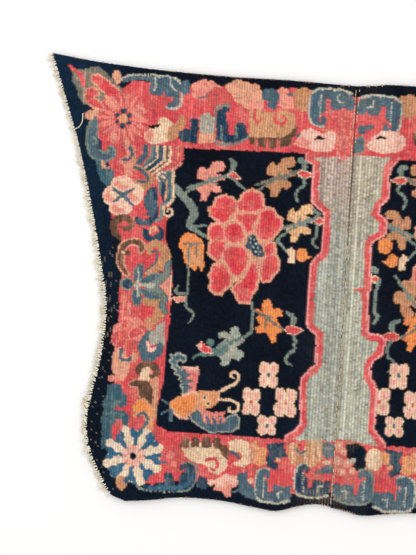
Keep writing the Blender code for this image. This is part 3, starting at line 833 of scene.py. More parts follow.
def drawButterfly(c):
    # a scalloped hook of a wing, the pink block under it with three teeth, and the lower wing
    wing = c.patch([(229, -164), (235, -161), (232, -154), (238, -150), (234, -144), (241, -141), (239, -136),
        (247, -132), (246, -127), (254, -124), (251, -119), (257, -114), (253, -110), (256, -104), (248, -103),
        (245, -99), (238, -101), (232, -103), (229, -109), (231, -113), (235, -114), (240, -112), (243, -114),
        (243, -119), (238, -123), (232, -126), (229, -138), (227, -151), (222, -162)])
    c.paint(wing + 2.4, "slate", "mist", 2.6)
    c.draw(
        ("patch", "dusk", [237, -121, 212, -120, 210, -128, 214, -155, 218, -158, 227, -160, 230, -138, 233, -127]),
        ("patch", "pale", [237, -120, 211, -119, 210, -125, 223, -125, 235, -124]),
        ("patch", "slate", [236, -125, 231, -126, 222, -132, 230, -137, 216, -141, 228, -147, 218, -152, 226, -156,
            223, -162, 229, -161, 232, -151, 235, -138]),
        ("patch", ("slate", "mist", 2.4), [220, -188, 211, -184, 201, -191, 168, -196, 152, -188, 147, -193,
            148, -206, 156, -212, 188, -215, 202, -208, 215, -199]),
        *[("band", "dusk", points, 5.4, 4.2) for points in (
            [202, -184, 196, -201], [192, -186, 186, -202], [182, -187, 177, -201], [172, -186, 169, -199],
        )],
        ("band", "dusk", [206, -180, 194, -188, 178, -189, 169, -185], 8, 6, 5, 4),
        ("patch", "honey", [252, -177, 249, -173, 232, -162, 215, -157, 196, -154, 181, -154, 177, -161, 179, -170,
            186, -176, 190, -180, 202, -181, 212, -185, 225, -197, 232, -197, 250, -186], True),
        ("patch", "amber", [250, -176, 231, -165, 217, -162, 214, -176, 223, -190, 237, -189], True),
        ("band", "pale", [249, -187, 236, -196, 223, -198], 3.6),
        ("band", "pale", [232, -163, 218, -157, 212, -159], 3.2),
        ("oval", "cream", (200, -165), 7.4, 7.4),
        ("oval", "ink", (200, -165), 4.4, 4.4),
        ("oval", "cream", (194, -173), 7.4, 7.4),
        ("oval", "ink", (194, -173), 4.4, 4.4),
        ("band", "cream", [179, -155, 164, -146, 152, -136, 152, -127, 158, -124, 163, -128, 159, -133], 4, 4, 4, 4,
            4, 4, 3.4),
        ("band", "cream", [178, -167, 162, -166, 149, -172, 151, -182, 162, -183, 161, -178], 4, 4, 4.2, 4.2, 4,
            3.4),
        ("band", "slate", [263, -172, 252, -178], 3.2),
        ("band", "slate", [263, -194, 251, -187], 3.2),
        ("band", "slate", [249, -187, 248, -202], 5.5),
    )


def drawBlossoms(c, side):
    push = (0, 0) if side == "left" else (-17, 11)
    for at, wide, high, heart in (
        ((106, -125), 28.4, 39, "slate"),
        ((130, -167), 26, 42, "coral"),
        ((79, -165), 32.5, 43, "coral"),
        ((104, -201), 28.6, 30, "slate"),
    ):
        drawBlossom(c, (at[0] + push[0], at[1] + push[1]), wide, high, heart)


def drawHalf(side):
    c = KnotChart(side)  # all ink at first
    c.draw(("patch", "coral", grounds["border"]), ("patch", "navy", grounds["field"]))
    drawStems(c, side)
    drawPeony(c)
    drawButterfly(c)
    drawBlossoms(c, side)
    drawPanel(c, side, c.patch(grounds["field"]))
    drawTopBorder(c, side)
    drawSideBorder(c)
    drawRearBorder(c, side)
    drawRearCorner(c)
    drawCorner(c)
    print("chart", side, c.dye.shape)
    return c


frontCorner = [(190, 317.8), (300, 321.2), (390, 327.5), (461, 336.3)]
rearCorner = [(167, -317.2), (225, -316.5), (275, -323.8), (310, -327.2)]
edges = {  # outline of a half in mm: reach from the spine, and distance to the front from the seam's middle
    "frontLeft": [(0, 315.8), (27, 316.2), (50, 316.8), (110, 318.2), *frontCorner],
    "frontRight": [(0, 316), (27, 318), (50, 320.8), (110, 320.6), *frontCorner],
    "rearLeft": [(0, -316), (22, -313.6), (48, -318), (82, -327.5), (120, -323.4), *rearCorner],
    "rearRight": [(0, -317.5), (22, -321.2), (48, -326.4), (82, -322), (120, -318), *rearCorner],
    "flank": [
        (310, -327.2), (332, -318), (350, -292), (371, -246), (376, -198), (362, -120),
        (357, -40), (370, 30), (388, 110), (412, 199), (438, 274), (461, 336.3),
    ],
    "shift": 336.3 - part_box("half_left")[1][1] * 1000,  # from the seam's middle to the frame's origin
    "spill": 1.3,  # the pile stands out past the cloth
    "innerEdge": 0.15,  # half the gap at the seam
}


def outline(side):  # front and rear edge by reach, flank by distance to the front, each moved out by the spill
    name = side.capitalize()
    front, rear, flank = (curve(edges[key]) for key in ("front" + name, "rear" + name, "flank"))
    return (
        lambda u: np.interp(u, front[:, 0], front[:, 1]) + edges["spill"],
        lambda u: np.interp(u, rear[:, 0], rear[:, 1]) - edges["spill"],
        lambda v: np.interp(v, flank[:, 1], flank[:, 0]) + edges["spill"],
    )


def makeMesh(name, points, faces, sizes):  # points in mm; faces as one flat array of corners, sizes their counts
    mesh = bpy.data.meshes.new(name)
    mesh.vertices.add(len(points))
    mesh.vertices.foreach_set("co", np.asarray(points, np.float32).ravel() / 1000)
    mesh.loops.add(len(faces))
    mesh.loops.foreach_set("vertex_index", np.asarray(faces, np.int32))
    mesh.polygons.add(len(sizes))
    mesh.polygons.foreach_set("loop_start", np.concatenate([[0], np.cumsum(sizes)[:-1]]).astype(np.int32))
    mesh.update(calc_edges=True)
    mesh.validate()
    made = bpy.data.objects.new(name, mesh)
    bpy.context.scene.collection.objects.link(made)
    print(name, len(mesh.vertices), "points", int((np.asarray(sizes) - 2).sum()), "triangles")
    return made


def placed(side, reach, along, height):  # mm from the spine and to the front, as mm in the frame
    return np.stack([signs[side] * reach, along - edges["shift"], height], axis=-1)


wear = {  # how dye and age change the wools: a spread is a share of the colour
    "warp": (212, 194, 160),
    "rowShade": 0.05,  # a row, a knot and a wide patch lighter or darker
    "knotShade": 0.11,
    "wideShade": 0.06,
    "shadeLimits": (0.55, 1.5),
    "groundFront": (7, 11, 22),  # the dark ground, ink at the front and bluer to the rear and the flank
    "groundRear": (14, 35, 54),
    "redRose": 0.55,  # red wool is uneven: rose patches and pale ones
    "redPale": 0.5,
    "redStreak": 0.16,
    "rubbed": 50,  # mm from the seam, at the front of the left half
    "blueFadesTo": (146, 156, 152),
    "restFadesTo": (232, 184, 162),
    "fade": 0.16,
    "fadeLimit": 0.4,
    "panelLeft": [(160, 162, 150), (176, 154, 142)],  # the panel from rear to front
    "panelRight": [(168, 168, 152), (174, 163, 145)],
    "panelWarms": {"left": (60, 130), "right": (-20, 220)},  # from here, over this far to the front
    "panelReach": 75,
    "tint": np.array([0.035, 0.007, -0.028]),  # knots warmer or cooler
    "base": (120, 110, 92),
}


def knotColours(c, side):  # linear colour of each cell, with uneven dye by row, knot and place
    rng = randomFor(side, 21)
    rows, knots = c.dye.shape[0] // 2, c.dye.shape[1] // 2
    clip = np.clip

    def knotNoise(spread):
        return perKnot(spread * rng.normal(0, 1, (rows, knots)))

    def mixed(base, where, colour, share):  # towards the colour by the share
        return np.where(where[..., None], base + (colour - base) * share[..., None], base)

    base = linear([dyes[name] for name in dyeNames])[c.dye]
    row = np.convolve(rng.normal(0, 1, rows + 6), np.ones(3) / 2, "same")[3:-3]
    shade = 1 + perKnot(wear["rowShade"] * row[:, None] + wear["knotShade"] * rng.normal(0, 1, (rows, knots)))
    shade = shade + wear["wideShade"] * ripple(c.u, c.v, 5, 190)
    dark, red = c.has("ink", "navy"), c.has("coral", "crimson", "berry")
    blue = c.has("denim", "slate", "teal", "azure", "fern", "sage")[..., None]
    # the dark ground: bluest on the flank's rear half
    flank = 0.75 * clip((c.u - 310) / 90, 0, 1) * clip((c.v + 90) / 120, 0.1, 1)
    bluer = clip(0.12 + flank + 0.12 * clip(-c.v / 200, 0, 1) + 0.14 * ripple(c.u, c.v, 9, 150), 0, 1)
    ground = linear(wear["groundFront"]) + (linear(wear["groundRear"]) - linear(wear["groundFront"])) * bluer[..., None]
    base = np.where(dark[..., None], ground, base)
    # red wool: patches, streaks along the rows, and rubbed knots by the seam at the front
    rubbed = (c.u < wear["rubbed"] + 18 * ripple(c.u, c.v, 51, 40)) & (c.v > 200) & (side == "left")
    toRose = 0.12 + wear["redRose"] * ripple(c.u, c.v, 53, 60) + knotNoise(0.16) * (1 + 1.6 * rubbed) + 0.25 * rubbed
    toPale = -0.06 + wear["redPale"] * ripple(c.u, c.v, 55, 44) + wear["redStreak"] * ripple(c.u * 8, c.v * 0.5, 57, 50)
    toPale = toPale + knotNoise(0.14) * (1 + 2.2 * rubbed) + 0.20 * rubbed
    base = mixed(base, red, linear(dyes["rose"]), clip(toRose, 0, 0.8))
    base = mixed(base, red, linear(dyes["dusk"]), clip(toPale, 0, 0.75))
    # worn wool fades in patches: blues to grey, the others to the warp's colour
    fade = 0.04 + wear["fade"] * ripple(c.u, c.v, 19, 70)
    fade = fade + perKnot(0.06 * rng.normal(0, 1, (rows, 1)) + 0.05 * rng.normal(0, 1, (rows, knots)))
    fade = clip(fade, 0, wear["fadeLimit"])[..., None]
    hue = base / base.max(axis=2, keepdims=True)
    worn = np.where(blue, linear(wear["blueFadesTo"]), linear(wear["restFadesTo"]) * (0.55 + 0.45 * hue))
    base = np.where(dark[..., None], base * (1 + fade * 0.5), base + (worn - base) * fade)
    # the panel: warmer to the front, streaked along its rows
    panel = c.has("stone") & (c.u < wear["panelReach"])
    start, over = wear["panelWarms"][side]
    warm = clip((c.v - start) / over, 0, 1)[..., None]
    rear, front = (linear(colour) for colour in wear["panel" + side.capitalize()])
    streak = perKnot(rng.normal(0, 0.11, (rows, 1)) + rng.normal(0, 0.13, (rows, knots)))
    streak = streak + 0.20 * ripple(c.u * 6, c.v * 0.5, 31, 60) + 0.08 * rng.normal(0, 1, c.u.shape)
    base = np.where(panel[..., None], rear * (1 - warm) + front * warm, base)
    shade = clip(np.where(panel, shade + streak, shade), *wear["shadeLimits"])
    tint = perKnot(rng.normal(0, 1, (rows, knots)))[..., None] * wear["tint"]
    return clip(base * shade[..., None] * (1 + tint), 0.002, 0.92)


def atCorners(values):  # values at points, as the four corners of each cell
    return np.stack([values[:-1, :-1], values[1:, :-1], values[1:, 1:], values[:-1, 1:]], axis=2)


def atPoints(cells):  # the mean of the cells round each point
    padded = np.pad(cells, ((1, 1), (1, 1), (0, 0)), "edge")
    return (padded[:-1, :-1] + padded[1:, :-1] + padded[1:, 1:] + padded[:-1, 1:]) / 4


def wovenFaces(points, colours, flip):  # cells of a grid as faces, without those that the outline flattens
    flat = points.reshape(-1, 3)
    key = np.round(flat[:, :2] * 200).astype(np.int64)  # places that agree to 0.005 mm are one
    _, first, same = np.unique(key[:, 0] * 10000000 + key[:, 1], return_index=True, return_inverse=True)
    index = same.reshape(points.shape[:2])
    order = [0, 3, 2, 1] if flip else [0, 1, 2, 3]
    quads, colours = atCorners(index)[..., order].reshape(-1, 4), colours[:, :, order].reshape(-1, 4, 3)
    keep = quads != np.roll(quads, -1, axis=1)  # corners that differ from the next
    count = keep.sum(axis=1)
    whole = count >= 3
    quads, colours, keep = quads[whole], colours[whole], keep[whole]
    return flat[first], quads[keep], count[whole], colours[keep]


def paintCorners(mesh, colours, places):  # the colours, and a flat map of the places, corner by corner
    layer = mesh.color_attributes.new("knots", "FLOAT_COLOR", "CORNER")
    opaque = np.concatenate([colours, np.ones((len(colours), 1))], axis=1)
    layer.data.foreach_set("color", opaque.ravel().astype(np.float32))
    spread = places[:, :2]
    corners = (spread - spread.min(axis=0)) / (np.ptp(spread, axis=0).max() + 4) + 0.002
    mesh.uv_layers.new(name="OFBake").data.foreach_set("uv", corners.ravel().astype(np.float32))


pile = {  # heights in mm
    "thickness": 9.0,
    "rowRelief": 0.36,
    "knotRelief": 0.15,
    "knotJitter": 0.132,
    "wornDepth": 1.2,
    "wornHalfWidth": 60.0,
    "grooveDepth": 3.2,
    "grooveWidth": 3.0,
    "swellHeight": 0.5,
    "swellLength": 260.0,
    "roughness": 0.12,
    "roughSize": 34,
    "edgeHeight": 3.0,
    "edgeWidth": 4.5,
    "drift": 0.9,  # rows wander
    "baseHeight": 0.6,
    "ragged": 1.3,  # rows end unevenly
}
barenessAndRibShade = {  # shares of the warp's colour that show between the rows, the bare warp there darker as painted shade, and the painted shade and highlight of rows and knots
    "spine": 0.62,
    "spineReach": 46.0,
    "spread": 0.05,
    "dash": 0.28,
    "speck": 0.55,
    "warpShade": 0.75,
    "soften": 0.45,  # how far a cell's colour runs into the next
    "rib": 0.20,  # painted highlight on the crests, painted shade in the valleys
    # painted shade and highlight across each knot, the tint of the rows' painted shade and highlight, and a painted
    # highlight that pales the crests towards the warp
    "knotBumpShade": 0.05,
    "ribShadeTint": np.array([0.82, 1.0, 1.0]),
    "crestHighlight": 0.4,
}


def topHeight(u, v):  # thickness - wear by the spine - groove at the seam, shallow to the rear + slow swell + roughness
    wave = 2 * np.pi / pile["swellLength"]
    groove = pile["grooveDepth"] * (0.22 + 0.78 * np.clip((v - 50) / 70, 0, 1))
    return (
        pile["thickness"]
        - pile["wornDepth"] * np.exp(-((u / pile["wornHalfWidth"]) ** 4))
        - groove * np.exp(-((u / pile["grooveWidth"]) ** 2))
        + pile["swellHeight"] * np.sin(wave * u + 0.8) * np.cos(wave * 0.7 * v)
        + pile["roughness"] * ripple(u, v, 33, pile["roughSize"])
    )


def rimHeight(rise):  # a quarter round from the edge's height up to the full one, as rise goes from 0 to 1
    return pile["edgeHeight"] + (pile["thickness"] - pile["edgeHeight"]) * np.sqrt(1 - (1 - rise) ** 2)


def pileTop(side, u, v, crest, middle, rng):  # rows and knots stand up, end raggedly and round off at the outline
    front, rear, flank = outline(side)
    us = u[:, 0]
    inside = np.clip(v, rear(u), front(u))
    drifted = u + pile["drift"] * ripple(u * 0.3, inside, 3, 120, 2) * np.clip(u / 30, 0, 1)
    reach = np.minimum(np.clip(drifted, edges["innerEdge"], None), flank(inside))
    ragged = rng.random((2, len(us))) ** 2 * pile["ragged"] * (us > 3)
    low, high = rear(reach) + np.interp(reach, us, ragged[0]), front(reach) - np.interp(reach, us, ragged[1])
    along = np.clip(inside, low, high)
    margin = np.minimum.reduce([front(reach) - along, along - rear(reach), (flank(along) - reach) * 0.95])
    rise = np.clip(margin / pile["edgeWidth"], 0, 1)
    relief = pile["rowRelief"] * crest + pile["knotRelief"] * middle + rng.normal(0, pile["knotJitter"], u.shape)
    height = topHeight(reach, along) * rimHeight(rise) / pile["thickness"] + relief * (0.35 + 0.65 * rise)
    return placed(side, reach, along, height)


def pileColours(side, chart, u, v, crest, middle, rng):  # wool at each cell's corners, with bare warp in the valleys, painted shade in the valleys and a painted highlight on the crests
    _, rear, _ = outline(side)
    cell = knotColours(chart, side)

    def atGrid(cells):
        return np.pad(cells, ((0, 1), (0, 1)), "edge")

    panel = atGrid(chart.has("stone")) & (u < wear["panelReach"])
    dark = atGrid(chart.has("ink", "navy"))
    bySpine = np.exp(-((u / barenessAndRibShade["spineReach"]) ** 4)) * barenessAndRibShade["spine"] * np.where(panel, 0.35, 1)
    patchy = np.clip(0.5 + 0.9 * ripple(u, v, 13, 45) + 0.25 * rng.normal(0, 1, u.shape), 0, 1)
    patchy = patchy * np.where(v > 0, 0.4, 1.0)
    atRear = (v < rear(u) + 16) & (u < 85) & (side == "left")
    onDark = np.where(dark, np.where(atRear, 0.45, 0.2), 1.0)
    streaks = np.repeat(rng.random((len(u), u.shape[1] // 5 + 1)) < 0.16, 5, axis=1)[:, : u.shape[1]]
    dashes = barenessAndRibShade["dash"] * streaks * (u > 345) * (np.abs(v + 29) < 64 + 20 * ripple(u, v, 29, 50))
    bare = barenessAndRibShade["spread"] * (rng.random(u.shape) < 0.3) + bySpine * patchy
    specks = barenessAndRibShade["speck"] * (rng.random(u.shape) < 0.035) * dark * (v < 60) * (u > 320)
    bare = np.clip(dashes + specks + bare * onDark, 0, 1) * (crest < 0)
    # painted light and shade along the rows: crests lighter, valleys darker, knot middles lighter, with a little random
    # tone
    rib = 1 + 0.35 * ripple(u, v * 0.4, 17, 50) + 0.4 * rng.normal(0, 1, u.shape)
    rib = barenessAndRibShade["rib"] * np.where(panel, 1.15, 1.0) * rib * crest
    rib = rib + barenessAndRibShade["knotBumpShade"] * np.where(panel, 0.3, 1.0) * middle + 0.06 * rng.normal(0, 1, u.shape)
    bare, rib = atCorners(bare)[..., None], atCorners(rib)[..., None]
    wool = cell[:, :, None] + (atCorners(atPoints(cell)) - cell[:, :, None]) * barenessAndRibShade["soften"]
    warp = linear(wear["warp"])
    wool = wool * (1 - bare) + warp * barenessAndRibShade["warpShade"] * bare
    # the painted shade and highlight laid on, then the crests paled towards the warp as a painted highlight
    lit = np.clip(wool * (1 + rib * barenessAndRibShade["ribShadeTint"]), 0.001, 0.95)
    return lit + np.clip(rib, 0, None) * barenessAndRibShade["crestHighlight"] * (warp - wool) * wool


def borderLoop(faces, count):  # points round the open edge in order: each edge starts where the last ends
    start = np.concatenate([[0], np.cumsum(count)[:-1]])
    following = np.arange(len(faces)) + 1
    following[start + count - 1] = start
    a, b = faces.astype(np.int64), faces[following].astype(np.int64)
    total = faces.max() + 1
    single = ~np.isin(a * total + b, b * total + a)  # edges that no other face runs back along
    starts, ends = a[single], b[single]
    order = np.argsort(starts)
    jump = order[np.searchsorted(starts, ends, sorter=order)]
    loop = np.array([0])
    while len(loop) < len(starts):  # the steps known double each time
        loop, jump = np.concatenate([loop, jump[loop]]), jump[jump]
    again = np.flatnonzero(loop[1:] == 0)
    loop = loop[: again[0] + 1] if len(again) else loop[: len(starts)]
    print("border", len(starts), "loop", len(loop))
    return starts[loop]


def pileMesh(side):  # the woven top, walls down from its edge, and a flat base
    chart = drawHalf(side)
    u, v = np.meshgrid(chart.uLines, chart.vLines, indexing="ij")
    crest, middle = (np.where(np.arange(n) % 2 == 1, 1.0, -1.0) for n in u.shape)
    crest, middle = crest[:, None], middle[None, :]
    rng = randomFor(side, 41)
    points = pileTop(side, u, v, crest, middle, rng)
    tinted = pileColours(side, chart, u, v, crest, middle, rng)
    points, faces, count, colour = wovenFaces(points, tinted, side == "left")
    loop = borderLoop(faces, count)
    low = points[loop].copy()
    low[:, 2] = pile["baseHeight"]
    lowIndex = len(points) + np.arange(len(loop))
    walls = np.stack([np.roll(loop, -1), loop, lowIndex, np.roll(lowIndex, -1)], axis=1)
    lookup = np.zeros((len(points), 3))
    lookup[faces] = colour
    edge, edgeNext = lookup[loop], np.roll(lookup[loop], -1, axis=0)
    # the walls take the edge's colour, painted darker at the foot as painted shade towards the floor
    wallColour = np.stack([edgeNext, edge, edge * 0.7, edgeNext * 0.7], axis=1).reshape(-1, 3)
    points = np.concatenate([points, low])
    faces = np.concatenate([faces, walls.ravel(), lowIndex[::-1]])  # the base faces down
    sizes = np.concatenate([count, np.full(len(walls), 4), [len(lowIndex)]])
    made = makeMesh("pile" + side.capitalize(), points, faces, sizes)
    baseColour = np.tile(linear(wear["base"]), (len(lowIndex), 1))
    paintCorners(made.data, np.concatenate([colour, wallColour, baseColour]), points[faces])
    return made, chart


back = {  # the underside, heights in mm
    "height": 0.12,
    "rib": 0.30,
    "inset": 0.6,
    "warp": 0.30,
    "warpShade": 0.6,
    "dull": 0.75,
}


def backMesh(chart, side):  # the underside: the same knots seen from below, in ridges with warp between them
    front, rear, flank = outline(side)
    u, v = np.meshgrid(chart.uLines, chart.vLines[::2], indexing="ij")
    rng = randomFor(side, 91)
    inside = np.clip(v, rear(u) + 2, front(u) - 2)
    reach = np.minimum(np.clip(u, edges["innerEdge"] + back["inset"], None), flank(inside) - back["inset"])
    along = np.clip(inside, rear(reach) + 1 + back["inset"], front(reach) - 1 - back["inset"])
    valley = np.where(np.arange(len(chart.uLines)) % 2 == 0, 1.0, 0.0)[:, None]
    height = back["height"] + back["rib"] * valley * (0.7 + 0.3 * rng.random(u.shape))
    cell = knotColours(chart, side)
    cell = (cell[:, ::2] + cell[:, 1::2]) / 2 * back["dull"]
    bare = atCorners(back["warp"] * valley * (0.5 + rng.random(u.shape)))[..., None]
    tinted = (cell[:, :, None] + atCorners(atPoints(cell))) / 2 * (1 - bare)
    tinted = tinted + linear(wear["warp"]) * back["warpShade"] * bare
    points, faces, sizes, colours = wovenFaces(placed(side, reach, along, height), tinted, side == "right")
    made = makeMesh("back" + side.capitalize(), points, faces, sizes)
    paintCorners(made.data, colours, points[faces])
    return made


def tubes(paths, radii, sides=4):  # paths: strands x stations x 3; a tube round each, closed at both ends
    n, m, _ = paths.shape
    ahead = np.gradient(paths, axis=1)
    ahead /= np.linalg.norm(ahead, axis=2, keepdims=True) + 1e-9
    across = np.cross(ahead, [0.0, 0.0, 1.0])
    across /= np.linalg.norm(across, axis=2, keepdims=True) + 1e-9
    lift = np.cross(across, ahead)
    angle = np.arange(sides) / sides * 2 * np.pi + np.pi / 4
    ring = across[:, :, None, :] * np.cos(angle)[:, None] + lift[:, :, None, :] * np.sin(angle)[:, None]
    points = paths[:, :, None, :] + ring * radii[:, :, None, None]
    index = np.arange(n * m * sides).reshape(n, m, sides)
    turned = np.roll(index, -1, axis=2)
    walls = np.stack([index[:, :-1], index[:, 1:], turned[:, 1:], turned[:, :-1]], axis=-1).reshape(-1, 4)
    caps = np.concatenate([index[:, 0], index[:, -1][:, ::-1]])
    faces = np.concatenate([walls.ravel(), caps.ravel()])
    sizes = np.concatenate([np.full(len(walls), 4), np.full(len(caps), sides)])
    return points.reshape(-1, 3), faces, sizes


def joined(parts):  # several (points, faces, sizes) as one
    starts = np.cumsum([0] + [len(p) for p, _, _ in parts[:-1]])
    return (
        np.concatenate([p for p, _, _ in parts]),
        np.concatenate([f + s for (_, f, _), s in zip(parts, starts)]),
        np.concatenate([s for _, _, s in parts]),
    )


strands = {  # cut warp ends in mm
    "perFlank": 560,
    "length": 9.6,
    "shortest": 3.0,
    "longest": 18.0,
    "thick": 1.7,
    "taper": 0.42,
    "tuft": 3.7,
    "rearEnd": -318.0,
    "frontEnd": 334.5,
    "overlap": (1.8, 3.4),  # roots lie on the edge of the pile, further in to the rear
    "overlapFrom": (200, -120),
    "lift": 0.5,
    "tip": (0.9, 4.6),
    "loose": [  # one loose thread on the left
        (424, 221, 8.4), (420.7, 224.2, 10.0), (413.8, 228.1, 10.4), (409.4, 236.7, 10.2), (409.1, 249.5, 9.6),
    ],
    "looseRadius": 0.6,
}


# warp ends that leave the flank at a right angle, lean with their tuft and fall from the pile's rim
def fringeMesh(side):
    _, _, flank = outline(side)
    rng = randomFor(side, 61)
    n = strands["perFlank"]
    v = np.linspace(strands["rearEnd"], strands["frontEnd"], n)
    tuft = ((v - strands["rearEnd"]) / strands["tuft"]).astype(int)  # neighbours cling together in tufts
    v = strands["rearEnd"] + (tuft + 0.5) * strands["tuft"] + rng.normal(0, 0.8, n)
    outward = np.stack([np.ones(n), (flank(v - 2) - flank(v + 2)) / 4], axis=1)
    outward /= np.linalg.norm(outward, axis=1, keepdims=True)
    lead = np.stack([-outward[:, 1], outward[:, 0]], axis=1)
    tufts = tuft.max() + 1
    length = strands["length"] * (0.5 + 0.5 * rng.random(tufts)[tuft]) * (0.6 + 0.5 * rng.random(n))
    length = length * (1 + 0.30 * ripple(v, v * 0, 4, 70))
    length = np.where(rng.random(n) < 0.06, length * 1.4, length)
    length = np.clip(length, strands["shortest"], strands["longest"])[:, None]
    t = np.linspace(0, 1, 7)[None, :]
    lean = (rng.normal(0, 0.30, tufts)[tuft] + rng.normal(0, 0.16, n) + 0.25 * ripple(v, v * 0 + 9, 6, 30))[:, None]
    bend = rng.normal(0, 1.5, n)[:, None]
    inner = np.interp(-v, -np.array(strands["overlapFrom"]), strands["overlap"]) * (0.45 + 0.9 * rng.random(n))
    root = np.stack([flank(v), v], axis=1) - outward * inner[:, None]
    out = t * (length + inner[:, None])
    aside = lean * out + bend * (t - 0.3) * t * 1.3 * np.clip(length / 6, 0.4, 1.6)
    flat = root[:, None, :] + outward[:, None, :] * out[..., None] + lead[:, None, :] * aside[..., None]
    # over the pile's rounded rim, then down to the tip
    rim = rimHeight(np.clip((inner[:, None] - out) / pile["edgeWidth"], 0, 1))
    past = np.clip((out - inner[:, None]) / length, 0, 1)
    low, high = strands["tip"]
    tip = low + (high - low) * rng.random(n)[:, None]
    z = np.where(past > 0, rim + (tip - rim) * past, rim + 0.2) + strands["lift"] * (0.4 + rng.random(n)[:, None])
    radii = strands["thick"] / 2 * (1.0 - strands["taper"] * t) * (0.8 + 0.45 * rng.random(n)[:, None])
    parts = [tubes(placed(side, flat[..., 0], flat[..., 1], z), radii)]
    if side == "left":
        loose = curve(placed(side, *np.array(strands["loose"]).T), 6)[None]
        parts.append(tubes(loose, np.full(loose.shape[:2], strands["looseRadius"]), 6))
    return makeMesh("warpEnds" + side.capitalize(), *joined(parts))


stitches = {  # the sewing that joins the halves, in mm
    "lines": [  # u, from v, to v, radius, share kept
        (-2.7, 236, 312, 0.6, 0.75), (2.3, 232, 312, 0.6, 0.7), (-3.1, 78, 236, 0.85, 0.9),
        (0.0, -312, 84, 0.7, 0.85), (2.4, -312, 60, 0.45, 0.3),
    ],
    "length": 3.8,
    "gap": 1.6,
    "above": 0.1,
    "arch": 0.5,
    "dip": 0.8,
    "sway": 0.5,
    "swayLength": 23,
}


def seamMesh():  # running stitches by the groove: each rises from the cloth, lies on it and dips in again
    rng = np.random.default_rng(71)
    parts = []
    for u, low, high, radius, share in stitches["lines"]:
        start = np.arange(low, high - stitches["length"], stitches["length"] + stitches["gap"])
        start = start[rng.random(len(start)) < share]
        t = np.linspace(0, 1, 8)[None, :]
        n = (len(start), 1)
        along = start[:, None] + rng.normal(0, 0.5, n) + stitches["length"] * (0.8 + 0.4 * rng.random(n)) * t
        across = u + rng.normal(0, 0.22, n) + rng.normal(0, 0.35, n) * (t - 0.5)
        across = across + stitches["sway"] * np.sin(along / stitches["swayLength"])
        z = topHeight(np.abs(across), along) + stitches["above"]
        z = z + stitches["arch"] * (1 - (2 * t - 1) ** 4) - stitches["dip"] * (2 * t - 1) ** 6
        thick = radius * (0.85 + 0.3 * rng.random(n)) * np.ones(t.shape)
        parts.append(tubes(placed("right", across, along, z), thick, 6))
    return makeMesh("spineSeam", *joined(parts))


selvedge = {  # weft loops, in mm; they are dense between the full places, and start this far from the spine
    "pitch": 3.78,
    "start": 6,
    "radius": 0.7,
    "reach": 0.7,
    "root": 3.0,
    "height": 7.6,
    "drop": 5.2,
    "front": ((60, 250), 450),
    "rear": ((0, 110), 300),
    "fullShare": 0.8,
    "share": 0.3,
}


def selvedgeMesh(side):  # small loops of weft that turn round the last warp, front and rear
    rng = randomFor(side, 81)
    front, rear, _ = outline(side)
    parts = []
    for edge, way, (full, end) in ((front, 1, selvedge["front"]), (rear, -1, selvedge["rear"])):
        u = np.arange(selvedge["start"], end, selvedge["pitch"])
        u = u + rng.normal(0, 0.3, len(u))
        share = np.where((u > full[0]) & (u < full[1]), selvedge["fullShare"], selvedge["share"])
        u = u[rng.random(len(u)) < share * (0.7 + 0.6 * ripple(u, u * 0, 5, 60))]
        t = np.linspace(0, 1, 6)[None, :]
        n = (len(u), 1)
        out = selvedge["root"] + selvedge["reach"] * (0.6 + 0.8 * rng.random(n))
        along = edge(u)[:, None] + way * (out * np.sin(t * np.pi / 2) - selvedge["root"])
        across = u[:, None] + rng.normal(0, 0.5, n) * t
        z = selvedge["height"] - selvedge["drop"] * t**1.6 + 0.3 * rng.random(n)
        thick = selvedge["radius"] * (0.7 + 0.5 * rng.random(n)) * np.ones(t.shape)
        parts.append(tubes(placed(side, across, along, z), thick, 5))
    return makeMesh("weftLoops" + side.capitalize(), *joined(parts))


class Wire:  # a socket that can be used in sums
    def __init__(self, nodes, socket):
        self.nodes, self.socket = nodes, socket

    def math(self, operation, other):
        node = self.nodes.new("ShaderNodeMath")
        node.operation = operation
        for slot, value in zip(node.inputs, (self, other)):
            fill(slot, value)
        return Wire(self.nodes, node.outputs[0])

    def __add__(self, other):
        return self.math("ADD", other)

    def __mul__(self, other):
        return self.math("MULTIPLY", other)

    def __sub__(self, other):
        return self.math("SUBTRACT", other)


def fill(slot, value):  # a value or a link into a socket
    if isinstance(value, Wire):
        value.nodes.id_data.links.new(value.socket, slot)
    else:
        slot.default_value = value


class Shade:  # a material being wired
    def __init__(self, name, roughness, **fixed):
        self.material = bpy.data.materials.new(name)
        self.material.use_nodes = True
        self.tree = self.material.node_tree
        self.shader = self.tree.nodes["Principled BSDF"]
        self.shader.inputs["Roughness"].default_value = roughness
        for socket, value in fixed.items():
            self.shader.inputs[socket].default_value = value

    def add(self, kind, settings=None, out=0, **inputs):  # any node: its settings, and values or links for its sockets
        node = self.tree.nodes.new("ShaderNode" + kind)
        for key, value in (settings or {}).items():
            setattr(node, key, value)
        for key, value in inputs.items():  # i6 is the socket with index 6
            fill(node.inputs[int(key[1:]) if key[0] == "i" else key], value)
        return Wire(self.tree.nodes, node.outputs[out])

    def send(self, socket, wire):
        self.tree.links.new(wire.socket, self.shader.inputs[socket])


looks = {  # noise scales are per metre, bump distances in metres
    "wool": {"fibre": (1500.0, 700.0, 700.0), "patches": 22.0, "patchShade": 0.30, "bump": 0.5, "depth": 0.0006},
    "cotton": {"fibre": 420.0, "clumps": 90.0, "bump": 0.35, "depth": 0.0004},
    "warpEnds": [(212, 197, 168), (255, 250, 236)],
    "seam": [(186, 170, 148), (226, 208, 182)],
    "weft": [(170, 122, 96), (222, 178, 146)],
}


